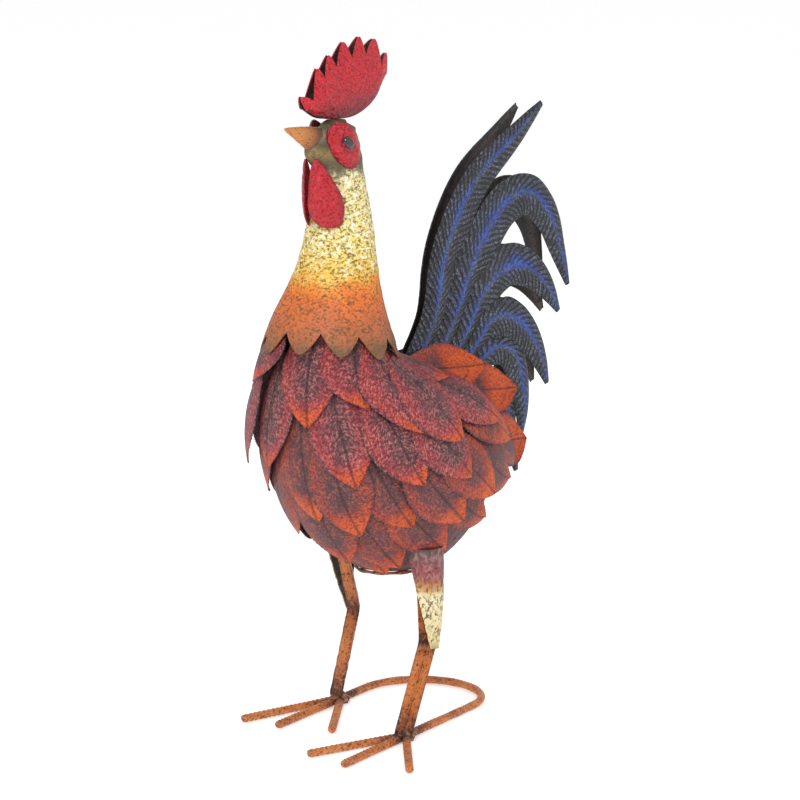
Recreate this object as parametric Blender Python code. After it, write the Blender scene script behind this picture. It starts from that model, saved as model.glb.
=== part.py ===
"""Rooster garden statue of painted sheet metal, as separate solids.

Metres, +Z up. The rooster faces -X and its left side is -Y. The figure is laid out about
the middle of its feet, and at the end everything is moved so that the origin is the
centre of the bounding box on the ground.
"""
import math

import bmesh
import bpy
import numpy as np

# Sheet, rods and clearances
SHELL_WALL = 0.0010
FEATHER_SHEET = 0.0008
TAIL_SHEET = 0.0010
LEAF_SHEET = 0.0010
COVER_SHEET = 0.0010
LEG_SHEET = 0.0016
TOE_ROD = 0.0080
LOOP_ROD = 0.0075
LOOP_WELD_GAP = 0.0008
RING_ROD = 0.0040
FIT_GAP = 0.0003
WELD_REACH = 0.00004
LEG_GAP = 0.0008

# Body: sections in half planes that fan out from a pivot above the rump.
# Each row: fan angle in degrees below the level, inner and outer radius, half width.
PIVOT_X = 0.190
PIVOT_Z = 0.390
BODY_SECTIONS = (
    (0, 0.216, 0.274, 0.030),
    (10, 0.2135, 0.2950, 0.0450),
    (20, 0.180, 0.312, 0.067),
    (32, 0.141, 0.322, 0.077),
    (44, 0.123, 0.317, 0.077),
    (56, 0.120, 0.304, 0.066),
    (66, 0.128, 0.257, 0.047),
    (74, 0.142, 0.186, 0.020),
)
BODY_RINGS = 11
BODY_SIDES = 20
MOUTH_RISE = 0.010
MOUTH_CUTTER = 1.0
RING_DROP = 0.0035
RING_STEPS = 16

# Feathers. Distances run along the body from the neck end of the shell, angles run around
# the body in degrees from the breast, positive to the left side.
FEATHER_LENGTH = 0.101
FEATHER_WIDTH = 0.050
FEATHER_CREASE = 0.0005
FEATHER_BASE_LIFT = 0.0021
FEATHER_RISE = 0.10
FEATHER_STEP = 0.0005
FEATHER_CLEARANCE = 0.0036
STACK_REACH = 50
FIRST_ROOT = 0.008
FEATHER_OUTLINE = ((0.0, 0.34), (0.20, 0.66), (0.50, 1.0), (0.72, 0.86), (0.88, 0.48))
FLARE_ANGLE = 66
BAND_NOTCH = 0.046
BAND_STEP_UP = 0.0022
SINGLE_STEP_UP = 0.0028
BAND_STEPS = (0.0, 0.55, 1.0)
# Each row: name, single feathers or one band, lean of the roots towards the back in degrees,
# height of the row above the lowest one, and for each feather the angle and distance of its tip
FEATHER_ROWS = (
    ("feather_a", True, 14, SINGLE_STEP_UP, ((-146, 0.120), (-120, 0.140), (-93, 0.134), (-68, 0.090), (-38, 0.064),
                             (22, 0.094), (66, 0.083), (94, 0.120), (110, 0.160), (146, 0.120))),
    ("feather_b", True, 8, SINGLE_STEP_UP, ((-132, 0.179), (-104, 0.186), (-76, 0.165), (-46, 0.142), (-16, 0.134),
                            (42, 0.150), (74, 0.168), (96, 0.195), (132, 0.179))),
    ("band_c", False, 0, BAND_STEP_UP, ((-128, 0.202), (-102, 0.222), (-78, 0.221), (-57, 0.196), (-36, 0.168),
                          (12, 0.182), (33, 0.204), (54, 0.214), (76, 0.226), (101, 0.222), (128, 0.202))),
    ("band_d", False, 0, 0.0, ((-82, 0.268), (-60, 0.268), (-40, 0.245), (-20, 0.218),
                          (14, 0.241), (36, 0.268), (60, 0.268), (82, 0.268))),
)
# Feathers beside the root of the tail. Each row: X and Z of the root and the tip, distance
# from the middle plane of the root and the tip, slant of the width away from upright in degrees
RUMP_FEATHERS = (
    (0.030, 0.336, 0.126, 0.328, 0.018, 0.030, 38),
    (0.088, 0.310, 0.166, 0.301, 0.036, 0.034, 27),
    (0.092, 0.266, 0.162, 0.254, 0.068, 0.050, 18),
)

# Neck and head: height, centre in X, half length, half width
NECK_SECTIONS = (
    (0.350, -0.0575, 0.0650, 0.0650),
    (0.365, -0.0570, 0.0612, 0.0612),
    (0.392, -0.0560, 0.0520, 0.0520),
    (0.421, -0.0495, 0.0415, 0.0415),
    (0.443, -0.0450, 0.0355, 0.0355),
    (0.473, -0.0425, 0.0305, 0.0305),
    (0.499, -0.0420, 0.0258, 0.0258),
    (0.520, -0.0425, 0.0225, 0.0215),
    (0.535, -0.0450, 0.0240, 0.0198),
    (0.550, -0.0478, 0.0235, 0.0180),
    (0.560, -0.0480, 0.0205, 0.0145),
    (0.567, -0.0480, 0.0110, 0.0070),
)
NECK_RING_HEIGHTS = (0.412, 0.450, 0.500, 0.532, 0.555, 0.563)
COLLAR_TEETH = 10
COLLAR_DEPTH = 0.025
COLLAR_SIDES_PER_TOOTH = 4

# Comb, in the profile plane
COMB_TIPS = (
    (-0.0925, 0.590), (-0.073, 0.6135), (-0.058, 0.625), (-0.039, 0.636),
    (-0.018, 0.640), (0.003, 0.637), (0.018, 0.624),
)
COMB_VALLEYS = (
    (-0.090, 0.580), (-0.081, 0.587), (-0.067, 0.605), (-0.052, 0.614),
    (-0.032, 0.621), (-0.014, 0.623), (0.007, 0.611), (0.0165, 0.606),
)
COMB_BASE = ((-0.088, 0.579), (-0.072, 0.571), (-0.050, 0.5685), (-0.026, 0.570), (0.001, 0.584), (0.015, 0.604))
COMB_SPREAD = 0.0052
COMB_EDGE_GAP = 0.0006

# Beak
BEAK_TIP = (-0.113, 0.5645)
BEAK_ROOT = (-0.069, 0.5490)
BEAK_HALF_HEIGHT = 0.0130
BEAK_HALF_WIDTH = 0.0088
# Eye patches and eyes: centre as metres back from the middle of the head's side, and height
PATCH_CENTRE = (-0.0065, 0.5465)
PATCH_SIZE = (0.0152, 0.0212)
PATCH_TILT = 14
PATCH_TOP_SECTION = 0.552
PATCH_STAND_OFF = 0.0014
PATCH_DOME = 0.0035
PATCH_SIDES = 14
EYE_CENTRE = (-0.0065, 0.5485)
EYE_SIZE = (0.0046, 0.0056)
EYE_DOME = 0.0028
EYE_SIDES = 10
# Wattles
WATTLE_TOP = (-0.0832, 0.5340)
WATTLE_HEIGHT = 0.0625
WATTLE_YAW = 47
WATTLE_DISH = 0.0028
WATTLE_GAP = 0.0013
# Each row: share of the height from the top, front edge and rear edge of the leaf
WATTLE_OUTLINE = (
    (0.0, 0.0030, 0.0065), (0.12, 0.0008, 0.0125), (0.32, 0.0, 0.0205), (0.52, 0.0002, 0.0270),
    (0.70, 0.0015, 0.0292), (0.86, 0.0055, 0.0275), (0.96, 0.0110, 0.0250), (1.0, 0.0160, 0.0215),
)

# Tail: six sickles a panel. Each row: fan angle of the root on the back, points of the
# ridge from the root on, width above and below the ridge, last step joined to the next.
TAIL_ROOT_HALF_GAP = 0.0030
TAIL_SPLAY = 0.110
TAIL_RIDGE = 0.0035
TAIL_STEP = 0.021
TAIL_JOIN_STEPS = 3
TAIL_ROOT_GAP = 0.0022
TAIL_SHARES = {"left": 1.0, "right": 0.95}
SICKLE_TAPER = 4
SICKLE_TIP_HALF = 0.0020
SICKLES = (
    (26, ((0.080, 0.375), (0.092, 0.434), (0.130, 0.498), (0.190, 0.543), (0.2225, 0.567)), 0.026, 0.046, 6),
    (32, ((0.107, 0.370), (0.143, 0.439), (0.180, 0.477), (0.208, 0.483), (0.235, 0.463), (0.251, 0.425),
          (0.263, 0.388)), 0.036, 0.050, 5),
    (38, ((0.123, 0.353), (0.158, 0.400), (0.192, 0.413), (0.223, 0.401), (0.243, 0.382), (0.257, 0.362)),
     0.044, 0.040, 4),
    (45, ((0.139, 0.342), (0.162, 0.364), (0.187, 0.364), (0.214, 0.345), (0.232, 0.317), (0.242, 0.292)),
     0.032, 0.037, 3),
    (53, ((0.153, 0.331), (0.174, 0.338), (0.194, 0.327), (0.205, 0.300), (0.208, 0.270), (0.205, 0.245)),
     0.024, 0.034, 2),
    (62, ((0.169, 0.305), (0.183, 0.276), (0.191, 0.243), (0.199, 0.211)), 0.022, 0.024, 0),
)

# Legs and feet: the feet stand turned to the rooster's left about the loop's centre
FOOT_TURN = 10
LOOP_CENTRE = (0.082, 0.015)
LOOP_STEPS = 15
FOOT_SPREAD = 0.0595
HUB_AHEAD_LEFT = 0.118
HUB_AHEAD_RIGHT = 0.047
# Each toe: angle in degrees from straight ahead, leftward positive, and length
TOES_LEFT = {"middle": (0, 0.104), "outer": (34, 0.104), "inner": (-25, 0.104)}
TOES_RIGHT = {"middle": (0, 0.106), "outer": (-20, 0.114), "inner": (29, 0.106)}
STUB_LENGTH = 0.052
HOCK_LEFT = (0.006, -0.065, 0.089)
HOCK_RIGHT = (0.047, 0.064, 0.091)
HIP_LEFT = (0.0020, -0.0610, 0.216)
HIP_RIGHT = (0.010, 0.062, 0.215)
LEG_FLANGE = 0.0115
LEG_OPENING_LEFT = 215
LEG_OPENING_RIGHT = 175
LEG_FOOT_AHEAD = 0.004
NOTCH_SHARES = (0.42, 1.3)
NOTCH_SIDES = 13
COVER_TOP_DROP = 0.038
COVER_BOTTOM_HEIGHT = 0.078
COVER_TOP_RADIUS = 0.0172
COVER_BOTTOM_RADIUS = 0.0132
COVER_TOP_ANGLE = 95
COVER_BOTTOM_ANGLE = 22
COVER_TURN = 18

# Paint: colour, roughness, metallic
PAINTS = {
    "rust": ((0.58, 0.22, 0.07), 0.6, 0.3),
    "mauve": ((0.30, 0.08, 0.09), 0.6, 0.3),
    "feather": ((0.48, 0.07, 0.05), 0.55, 0.3),
    "flame": ((0.62, 0.14, 0.04), 0.55, 0.3),
    "cream": ((0.78, 0.55, 0.22), 0.6, 0.2),
    "red": ((0.55, 0.01, 0.02), 0.5, 0.2),
    "ochre": ((0.60, 0.25, 0.08), 0.6, 0.2),
    "black": ((0.01, 0.01, 0.012), 0.25, 0.0),
    "slate": ((0.05, 0.07, 0.14), 0.5, 0.4),
}


def remove_scene_objects():
    """Start from an empty scene."""
    for item in list(bpy.data.objects):
        bpy.data.objects.remove(item, do_unlink=True)


def paint(name):
    """The named paint as a material, made on first use."""
    found = bpy.data.materials.get(name)
    if found:
        return found
    colour, roughness, metallic = PAINTS[name]
    material = bpy.data.materials.new(name)
    material.use_nodes = True
    shader = material.node_tree.nodes["Principled BSDF"]
    shader.inputs["Base Color"].default_value = (*colour, 1.0)
    shader.inputs["Roughness"].default_value = roughness
    shader.inputs["Metallic"].default_value = metallic
    return material


def curve_through(rows, positions):
    """Values between the rows of a table, on a smooth curve through all of them."""
    table = np.array(rows, dtype=float)
    keys = table[:, 0]
    values = table[:, 1:]
    slopes = np.gradient(values, keys, axis=0)
    at = np.clip(np.asarray(positions, dtype=float), keys[0], keys[-1])
    low = np.clip(np.searchsorted(keys, at, side="right") - 1, 0, len(keys) - 2)
    span = keys[low + 1] - keys[low]
    part = (at - keys[low]) / span
    part = part[..., None]
    span = span[..., None]
    return ((1 + 2 * part) * (1 - part) ** 2 * values[low]
            + part * (1 - part) ** 2 * span * slopes[low]
            + part ** 2 * (3 - 2 * part) * values[low + 1]
            + part ** 2 * (part - 1) * span * slopes[low + 1])


def make_object(name, points, faces, paint_name, smooth=True):
    """A named mesh object with doubled points merged."""
    mesh = bpy.data.meshes.new(name)
    mesh.from_pydata([tuple(point) for point in points], [], faces)
    work = bmesh.new()
    work.from_mesh(mesh)
    bmesh.ops.remove_doubles(work, verts=work.verts, dist=1e-6)
    bmesh.ops.recalc_face_normals(work, faces=work.faces)
    work.to_mesh(mesh)
    work.free()
    mesh.materials.append(paint(paint_name))
    if smooth:
        mesh.shade_smooth()
        mesh.set_sharp_from_angle(angle=math.radians(40))
    item = bpy.data.objects.new(name, mesh)
    bpy.context.scene.collection.objects.link(item)
    return item


def grid_faces(rows, columns, closed):
    """Quads of a grid of points, stored row by row."""
    faces = []
    across = columns if closed else columns - 1
    for row in range(rows - 1):
        for column in range(across):
            following = (column + 1) % columns
            faces.append((row * columns + column, row * columns + following,
                          (row + 1) * columns + following, (row + 1) * columns + column))
    return faces


def loft(name, rings, paint_name, smooth=True):
    """A closed solid through rings of equal point count, with flat ends."""
    sides = len(rings[0])
    points = [point for ring in rings for point in ring]
    faces = grid_faces(len(rings), sides, True)
    faces.append(tuple(range(sides - 1, -1, -1)))
    first = (len(rings) - 1) * sides
    faces.append(tuple(range(first, first + sides)))
    return make_object(name, points, faces, paint_name, smooth)


def thicken(item, sheet, outward=0.0):
    """Give a surface the thickness of its sheet."""
    solid = item.modifiers.new("sheet", "SOLIDIFY")
    solid.thickness = sheet
    solid.offset = outward


def cut_by(item, cutter):
    """Take a hidden cutter's volume away from an object."""
    cutter.hide_render = True
    cutter.display_type = "WIRE"
    item.modifiers.new("facets", "TRIANGULATE")
    cut = item.modifiers.new("cut", "BOOLEAN")
    cut.operation = "DIFFERENCE"
    cut.object = cutter
    weld = item.modifiers.new("weld", "WELD")
    weld.merge_threshold = WELD_REACH


# Body surface


def body_surface(angle, around):
    """Points of the shell's outer surface, running on straight past the flare angle."""
    angle, around = np.broadcast_arrays(np.asarray(angle, float), np.asarray(around, float))
    section = curve_through(BODY_SECTIONS, angle)
    middle = (section[..., 0] + section[..., 1]) / 2
    reach = (section[..., 1] - section[..., 0]) / 2
    radius = middle + reach * np.cos(around)
    fan = np.radians(angle)
    return np.stack((PIVOT_X - radius * np.cos(fan),
                     -section[..., 2] * np.sin(around),
                     PIVOT_Z - radius * np.sin(fan)), axis=-1)


def carrier(angle, around):
    """The surface that carries the feathers: the shell, then its tangent at the rump."""
    angle = np.asarray(angle, float)
    held = np.minimum(angle, FLARE_ANGLE)
    step = 0.5
    past = (angle - held)[..., None]
    ahead = body_surface(held, around)
    behind = body_surface(held - step, around)
    return ahead + (ahead - behind) / step * past


def carrier_normal(angle, around):
    """Outward unit normals of the carrier."""
    turn = 0.01
    along = carrier(np.asarray(angle) + turn, around) - carrier(np.asarray(angle) - turn, around)
    across = carrier(angle, np.asarray(around) + turn) - carrier(angle, np.asarray(around) - turn)
    normal = np.cross(along, across)
    return normal / np.linalg.norm(normal, axis=-1, keepdims=True)


FAN_TABLE = np.linspace(-4, 130, 269)


def distances(around):
    """Distance along the body from the neck end, at each fan angle of the table."""
    line = carrier(FAN_TABLE, np.full_like(FAN_TABLE, around))
    steps = np.linalg.norm(np.diff(line, axis=0), axis=1)
    run = np.concatenate(((0.0,), np.cumsum(steps)))
    return run - np.interp(0.0, FAN_TABLE, run)


def fan_angle(distance, around):
    """Fan angle at a distance along the body."""
    return np.interp(distance, distances(around), FAN_TABLE)


def lifted(angle, around, root, extra):
    """A point of a feather row: its height grows with the distance from its roots."""
    distance = np.interp(angle, FAN_TABLE, distances(around))
    height = FEATHER_BASE_LIFT + extra + FEATHER_RISE * max(distance - root, 0.0)
    return carrier(angle, around) + height * carrier_normal(angle, around)


def width_rate(angle, around):
    """Metres across the body for each radian around it."""
    turn = 0.02
    return np.linalg.norm(carrier(angle, around + turn) - carrier(angle, around - turn)) / (2 * turn)


def stack_heights(placed):
    """Extra height of each feather of a row, so that none touches a neighbour it overlaps.

    placed holds the angle of each tip and the distance of each root.
    """
    heights = []
    for around, root in placed:
        height = 0.0
        while not all(
                abs(height - other_height - FEATHER_RISE * (root - other_root)) > FEATHER_CLEARANCE
                for (other, other_root), other_height in zip(placed, heights)
                if abs(other - around) < STACK_REACH):
            height += FEATHER_STEP
        heights.append(height)
    return heights


def leaf(name, spot, paint_name):
    """One leaf-shaped sheet, creased along its middle, from its centre line and its outline."""
    points = []
    for share, width in FEATHER_OUTLINE:
        for side in (-1, 0, 1):
            points.append(spot(share, side * width))
    rows = len(FEATHER_OUTLINE)
    faces = grid_faces(rows, 3, False)
    points.append(spot(1.0, 0.0))
    last = (rows - 1) * 3
    faces.append((last, last + 1, rows * 3))
    faces.append((last + 1, last + 2, rows * 3))
    item = make_object(name, points, faces, paint_name)
    thicken(item, FEATHER_SHEET)
    return item


def build_feather(name, tip, root, around, lean, extra):
    """One feather that follows the body from its root to its tip."""
    def spot(share, side):
        middle = around + math.copysign(lean * math.sin(abs(around)) * (1 - share), around)
        angle = fan_angle(root + share * (tip - root), middle)
        turn = side * FEATHER_WIDTH / 2 / width_rate(angle, middle)
        crease = 0.0 if side else FEATHER_CREASE
        return lifted(angle, middle + turn, root, extra + crease)
    leaf(name, spot, "feather")


def build_band(name, tips, extra):
    """A row of feathers fused side by side, with their tips as its lower edge."""
    columns = []
    for index, (around, tip) in enumerate(tips):
        rate = width_rate(fan_angle(tip - FEATHER_LENGTH / 2, around), around)
        half = FEATHER_WIDTH / 2 / rate
        before = half if index == 0 else (around - tips[index - 1][0]) / 2
        after = half if index == len(tips) - 1 else (tips[index + 1][0] - around) / 2
        for share in (-1, -0.5, 0, 0.5, 1):
            reach = before if share < 0 else after
            if share == 1 and index < len(tips) - 1:
                continue
            notch = BAND_NOTCH * min(abs(share) * reach / half, 1.25) ** 1.5
            level = tip
            if share == -1 and index > 0:
                level = (tip + tips[index - 1][1]) / 2
            columns.append((around + share * reach, level - notch, tip - FEATHER_LENGTH))
    points = []
    for step in BAND_STEPS:
        for around, end, root in columns:
            angle = fan_angle(root + step * (end - root), around)
            points.append(lifted(angle, around, root, extra))
    item = make_object(name, points, grid_faces(len(BAND_STEPS), len(columns), False), "flame")
    thicken(item, FEATHER_SHEET)
    return item


def build_feathers():
    """The bands, then the single feathers, stacked from the lowest row up."""
    singles = []
    for name, single, lean, step_up, tips in reversed(FEATHER_ROWS):
        if not single:
            build_band(name, [(math.radians(around), tip) for around, tip in tips], step_up)
            continue
        for index, (around, tip) in enumerate(tips):
            root = max(tip - FEATHER_LENGTH, FIRST_ROOT)
            singles.append((f"{name}_{index + 1:02d}", tip, root, around, lean, step_up))
    heights = stack_heights([(single[3], single[2]) for single in singles])
    for (name, tip, root, around, lean, step_up), height in zip(singles, heights):
        build_feather(name, tip, root, math.radians(around), math.radians(lean), height + step_up)


def build_rump_feathers():
    """Feathers that stand off the back on both sides of the tail's root."""
    for index, (root_x, root_z, tip_x, tip_z, root_y, tip_y, slant) in enumerate(RUMP_FEATHERS):
        for name, way in (("left", -1), ("right", 1)):
            root = np.array((root_x, way * root_y, root_z))
            tip = np.array((tip_x, way * tip_y, tip_z))
            along = (tip - root) / np.linalg.norm(tip - root)
            tilt = math.radians(slant)
            wide = np.array((0.0, -way * math.sin(tilt), math.cos(tilt)))
            wide = wide - along * np.dot(wide, along)
            wide = wide / np.linalg.norm(wide)
            out = np.cross(along, wide) * way

            def spot(share, side):
                crease = 0.0 if side else FEATHER_CREASE
                return root + (tip - root) * share + wide * side * FEATHER_WIDTH / 2 + out * crease
            leaf(f"rump_feather_{name}_{index + 1}", spot, "flame")


def body_volume(name, outward):
    """The closed outer form of the body, moved outward by a clearance."""
    angles = np.linspace(BODY_SECTIONS[0][0], BODY_SECTIONS[-1][0], BODY_RINGS)
    around = (np.arange(BODY_SIDES) + 0.5) * 2 * math.pi / BODY_SIDES
    rings = []
    for angle in angles:
        ring = body_surface(np.full_like(around, angle), around)
        centre = ring.mean(axis=0)
        spread = ring - centre
        rings.append(ring + outward * spread / np.linalg.norm(spread, axis=1, keepdims=True))
    first = rings[0] + (0.0, 0.0, outward)
    rings[0] = first
    return loft(name, rings, "mauve")


def build_body():
    """Hollow shell, its mouth and the ring round the mouth."""
    shell = body_volume("body_shell", 0.0)
    thicken(shell, SHELL_WALL, -1.0)
    bpy.ops.mesh.primitive_cube_add(size=MOUTH_CUTTER,
                                    location=(0.0, 0.0, mouth_height() - MOUTH_CUTTER / 2))
    cutter = bpy.context.active_object
    cutter.name = "mouth_cutter"
    cut_by(shell, cutter)


def rod(name, path, diameter, paint_name, sides=8, closed=False):
    """A rod bent in the level plane, with a flat facet below."""
    radius = diameter / 2 / math.cos(math.pi / sides)
    path = np.array(path, dtype=float)
    rings = []
    for index, point in enumerate(path):
        if closed:
            before = path[index - 1]
            after = path[(index + 1) % len(path)]
        else:
            before = path[max(index - 1, 0)]
            after = path[min(index + 1, len(path) - 1)]
        into = point - before
        out = after - point
        into = into / (np.linalg.norm(into) or 1.0)
        out = out / (np.linalg.norm(out) or 1.0)
        ahead = into + out
        ahead = ahead / np.linalg.norm(ahead)
        aside = np.array((-ahead[1], ahead[0], 0.0))
        bend = max(np.dot(ahead, out), np.dot(ahead, into))
        ring = []
        for side in range(sides):
            turn = 2 * math.pi * (side + 0.5) / sides
            ring.append(point + aside * (radius * math.sin(turn) / bend)
                        + np.array((0.0, 0.0, -radius * math.cos(turn))))
        rings.append(ring)
    if not closed:
        return loft(name, rings, paint_name)
    points = [point for ring in rings for point in ring]
    faces = grid_faces(len(rings), sides, True)
    last = (len(rings) - 1) * sides
    for side in range(sides):
        following = (side + 1) % sides
        faces.append((last + side, last + following, following, side))
    return make_object(name, points, faces, paint_name)


def build_belly_ring():
    """Bent rod just under the edge of the mouth."""
    centre_x, half_x, half_y = mouth_size()
    level = mouth_height() - RING_DROP
    path = []
    for turn in np.linspace(0, 2 * math.pi, RING_STEPS, endpoint=False):
        path.append((centre_x + half_x * math.cos(turn), half_y * math.sin(turn), level))
    rod("belly_ring", path, RING_ROD, "rust", 6, True)


def mouth_height():
    """Height of the level cut, above the lowest point of the shell's outer form."""
    angles = np.linspace(BODY_SECTIONS[0][0], BODY_SECTIONS[-1][0], 400)
    return body_surface(angles, np.zeros_like(angles))[:, 2].min() + MOUTH_RISE


def mouth_size():
    """Centre in X and half sizes of the hole that the level cut leaves in the shell."""
    angles = np.linspace(BODY_SECTIONS[0][0], BODY_SECTIONS[-1][0], 400)
    lowest = body_surface(angles, np.zeros_like(angles))
    below = lowest[lowest[:, 2] < mouth_height()]
    front = below[:, 0].min()
    rear = below[:, 0].max()
    around = np.linspace(0, math.pi / 2, 200)
    half_width = 0.0
    for angle in angles[lowest[:, 2] < mouth_height()]:
        ring = body_surface(np.full_like(around, angle), around)
        half_width = max(half_width, np.abs(ring[ring[:, 2] < mouth_height()][:, 1]).max())
    return (front + rear) / 2, (rear - front) / 2, half_width


# Neck, head and what sits on it


def neck_ring(height, sides, outward=0.0):
    """Level ring of the neck or head."""
    centre, half_length, half_width = curve_through(NECK_SECTIONS, height)
    turns = np.linspace(0, 2 * math.pi, sides, endpoint=False)
    return np.stack((centre - (half_length + outward) * np.cos(turns),
                     -(half_width + outward) * np.sin(turns),
                     np.full(sides, height)), axis=-1)


def neck_rings(sides, outward):
    """Rings from the collar's valleys to the top of the head."""
    heights = [NECK_SECTIONS[0][0] + COLLAR_DEPTH, *NECK_RING_HEIGHTS]
    top = NECK_SECTIONS[-1][0]
    rings = [neck_ring(height, sides, outward) for height in heights]
    rings.append(neck_ring(top, sides, outward) + (0.0, 0.0, outward))
    return rings


def build_neck():
    """Rolled cone with a zigzag lower edge, closed by the head."""
    sides = COLLAR_TEETH * COLLAR_SIDES_PER_TOOTH
    rings = neck_rings(sides, 0.0)
    collar = []
    bottom = NECK_SECTIONS[0][0]
    turns = np.linspace(0, 2 * math.pi, sides, endpoint=False)
    for index, turn in enumerate(turns):
        share = abs((index % COLLAR_SIDES_PER_TOOTH) / COLLAR_SIDES_PER_TOOTH * 2 - 1)
        height = bottom + COLLAR_DEPTH * share ** 1.3
        collar.append(neck_ring(height, sides)[index])
    points = [point for ring in [collar] + rings for point in ring]
    faces = grid_faces(len(rings) + 1, sides, True)
    first = len(rings) * sides
    faces.append(tuple(range(first, first + sides)))
    item = make_object("neck_and_head", points, faces, "cream")
    thicken(item, SHELL_WALL, -1.0)
    return item


def head_cutter():
    """The head's outer form with the fitting clearance round it."""
    return loft("head_cutter", neck_rings(32, FIT_GAP), "cream")


def head_point(along, height, outward):
    """A point over the head's side: metres back from the middle of the side, and height."""
    centre, half_length, half_width = curve_through(NECK_SECTIONS, min(height, PATCH_TOP_SECTION))
    turn = math.pi / 2 + along / math.hypot(half_length, half_width) * math.sqrt(2)
    normal = np.array((-math.cos(turn) / half_length, -math.sin(turn) / half_width))
    normal = normal / np.linalg.norm(normal) * outward
    return (centre - half_length * math.cos(turn) + normal[0], -half_width * math.sin(turn) + normal[1], height)


def oval_rings(centre, size, shares, lifts, way, sides):
    """Rings of an oval that follows the head's side, each with its own lift."""
    tilt = math.radians(PATCH_TILT)
    rings = []
    for share, lift in zip(shares, lifts):
        ring = []
        for turn in np.linspace(0, 2 * math.pi, sides, endpoint=False):
            short = size[0] * share * math.cos(turn)
            long = size[1] * share * math.sin(turn)
            along = centre[0] + short * math.cos(tilt) - long * math.sin(tilt)
            height = centre[1] + short * math.sin(tilt) + long * math.cos(tilt)
            x, y, z = head_point(along, height, lift)
            ring.append((x, -way * y, z))
        rings.append(ring)
    return rings


def build_face(head):
    """Beak, eye patches and eyes."""
    tip = np.array((BEAK_TIP[0], 0.0, BEAK_TIP[1]))
    root = np.array((BEAK_ROOT[0], 0.0, BEAK_ROOT[1]))
    axis = (root - tip) / np.linalg.norm(root - tip)
    up = np.array((-axis[2], 0.0, axis[0]))
    side = np.array((0.0, 1.0, 0.0))
    rings = []
    for share, size in ((0.0, 0.05), (0.25, 0.36), (0.6, 0.72), (1.0, 1.0)):
        centre = tip + (root - tip) * share
        ring = []
        for turn in np.linspace(0.1, 0.1 + 2 * math.pi, 14, endpoint=False):
            high = up * math.cos(turn) * BEAK_HALF_HEIGHT
            wide = side * math.sin(turn) * BEAK_HALF_WIDTH
            ring.append(centre + (high + wide) * size)
        rings.append(ring)
    beak = loft("beak", rings, "ochre")
    cut_by(beak, head)
    for name, way in (("left", -1), ("right", 1)):
        shares = (1.0, 0.8, 0.5, 0.05)
        lifts = [PATCH_STAND_OFF + PATCH_DOME * (1 - share ** 2) for share in shares]
        rings = oval_rings(PATCH_CENTRE, PATCH_SIZE, shares, lifts, way, PATCH_SIDES)
        points = [point for ring in rings for point in ring]
        faces = grid_faces(len(rings), PATCH_SIDES, True)
        faces.append(tuple(range(len(points) - PATCH_SIDES, len(points))))
        patch = make_object(f"eye_patch_{name}", points, faces, "red")
        thicken(patch, LEAF_SHEET)
        floor = PATCH_STAND_OFF + PATCH_DOME + LEAF_SHEET / 2 + FIT_GAP
        shares = (0.05, 1.0, 0.8, 0.45, 0.05)
        lifts = (floor, floor, floor + EYE_DOME * 0.6, floor + EYE_DOME * 0.9, floor + EYE_DOME)
        loft(f"eye_{name}", oval_rings(EYE_CENTRE, EYE_SIZE, shares, lifts, way, EYE_SIDES), "black")


def build_comb(head):
    """Two dished leaves whose teeth lean together at their tips."""
    base = np.array(COMB_BASE)
    run = np.concatenate(((0.0,), np.cumsum(np.linalg.norm(np.diff(base, axis=0), axis=1))))
    base_rows = [(length / run[-1], *point) for length, point in zip(run, COMB_BASE)]
    columns = []
    for index, tip in enumerate(COMB_TIPS):
        low = np.array(COMB_VALLEYS[index])
        high = np.array(COMB_VALLEYS[index + 1])
        tip = np.array(tip)
        for share, rise in ((0.0, 0.0), (0.26, 0.62), (0.5, 1.0), (0.74, 0.62)):
            level = low + (high - low) * share
            shoulder = level + (tip - (low + high) / 2) * rise
            columns.append((index + share, level, shoulder, rise))
    columns.append((len(COMB_TIPS), high, high, 0.0))
    for name, way in (("left", -1), ("right", 1)):
        points = []
        for row in range(4):
            for place, level, top, rise in columns:
                foot = curve_through(base_rows, place / len(COMB_TIPS))
                end = min(1.0, 4 * min(place, len(COMB_TIPS) - place) / len(COMB_TIPS) + 0.35)
                spot = (foot, foot + (level - foot) * 0.45, level, top)[row]
                spread = (0.3, 1.0, 0.95, 0.95 * (1 - rise))[row] * COMB_SPREAD * end
                points.append((spot[0], way * (spread + COMB_EDGE_GAP + LEAF_SHEET / 2), spot[1]))
        item = make_object(f"comb_{name}", points, grid_faces(4, len(columns), False), "red")
        thicken(item, LEAF_SHEET)
        cut_by(item, head)


def build_wattles():
    """Two dished drops that hang from the chin and open backwards."""
    for name, way in (("left", -1), ("right", 1)):
        yaw = math.radians(WATTLE_YAW)
        aside = np.array((math.cos(yaw), way * math.sin(yaw), 0.0))
        out = np.array((-math.sin(yaw), way * math.cos(yaw), 0.0))
        start = np.array((WATTLE_TOP[0], way * (WATTLE_GAP + LEAF_SHEET / 2), WATTLE_TOP[1]))
        points = []
        for share, front, rear in WATTLE_OUTLINE:
            for across in (0.0, 0.2, 0.5, 0.8, 1.0):
                bulge = WATTLE_DISH * 4 * across * (1 - across) * math.sin(math.pi * (0.1 + 0.8 * share))
                spot = start + aside * (front + (rear - front) * across) + out * bulge
                points.append(spot - np.array((0.0, 0.0, share * WATTLE_HEIGHT)))
        item = make_object(f"wattle_{name}", points, grid_faces(len(WATTLE_OUTLINE), 5, False), "red")
        thicken(item, LEAF_SHEET)


# Tail


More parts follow.
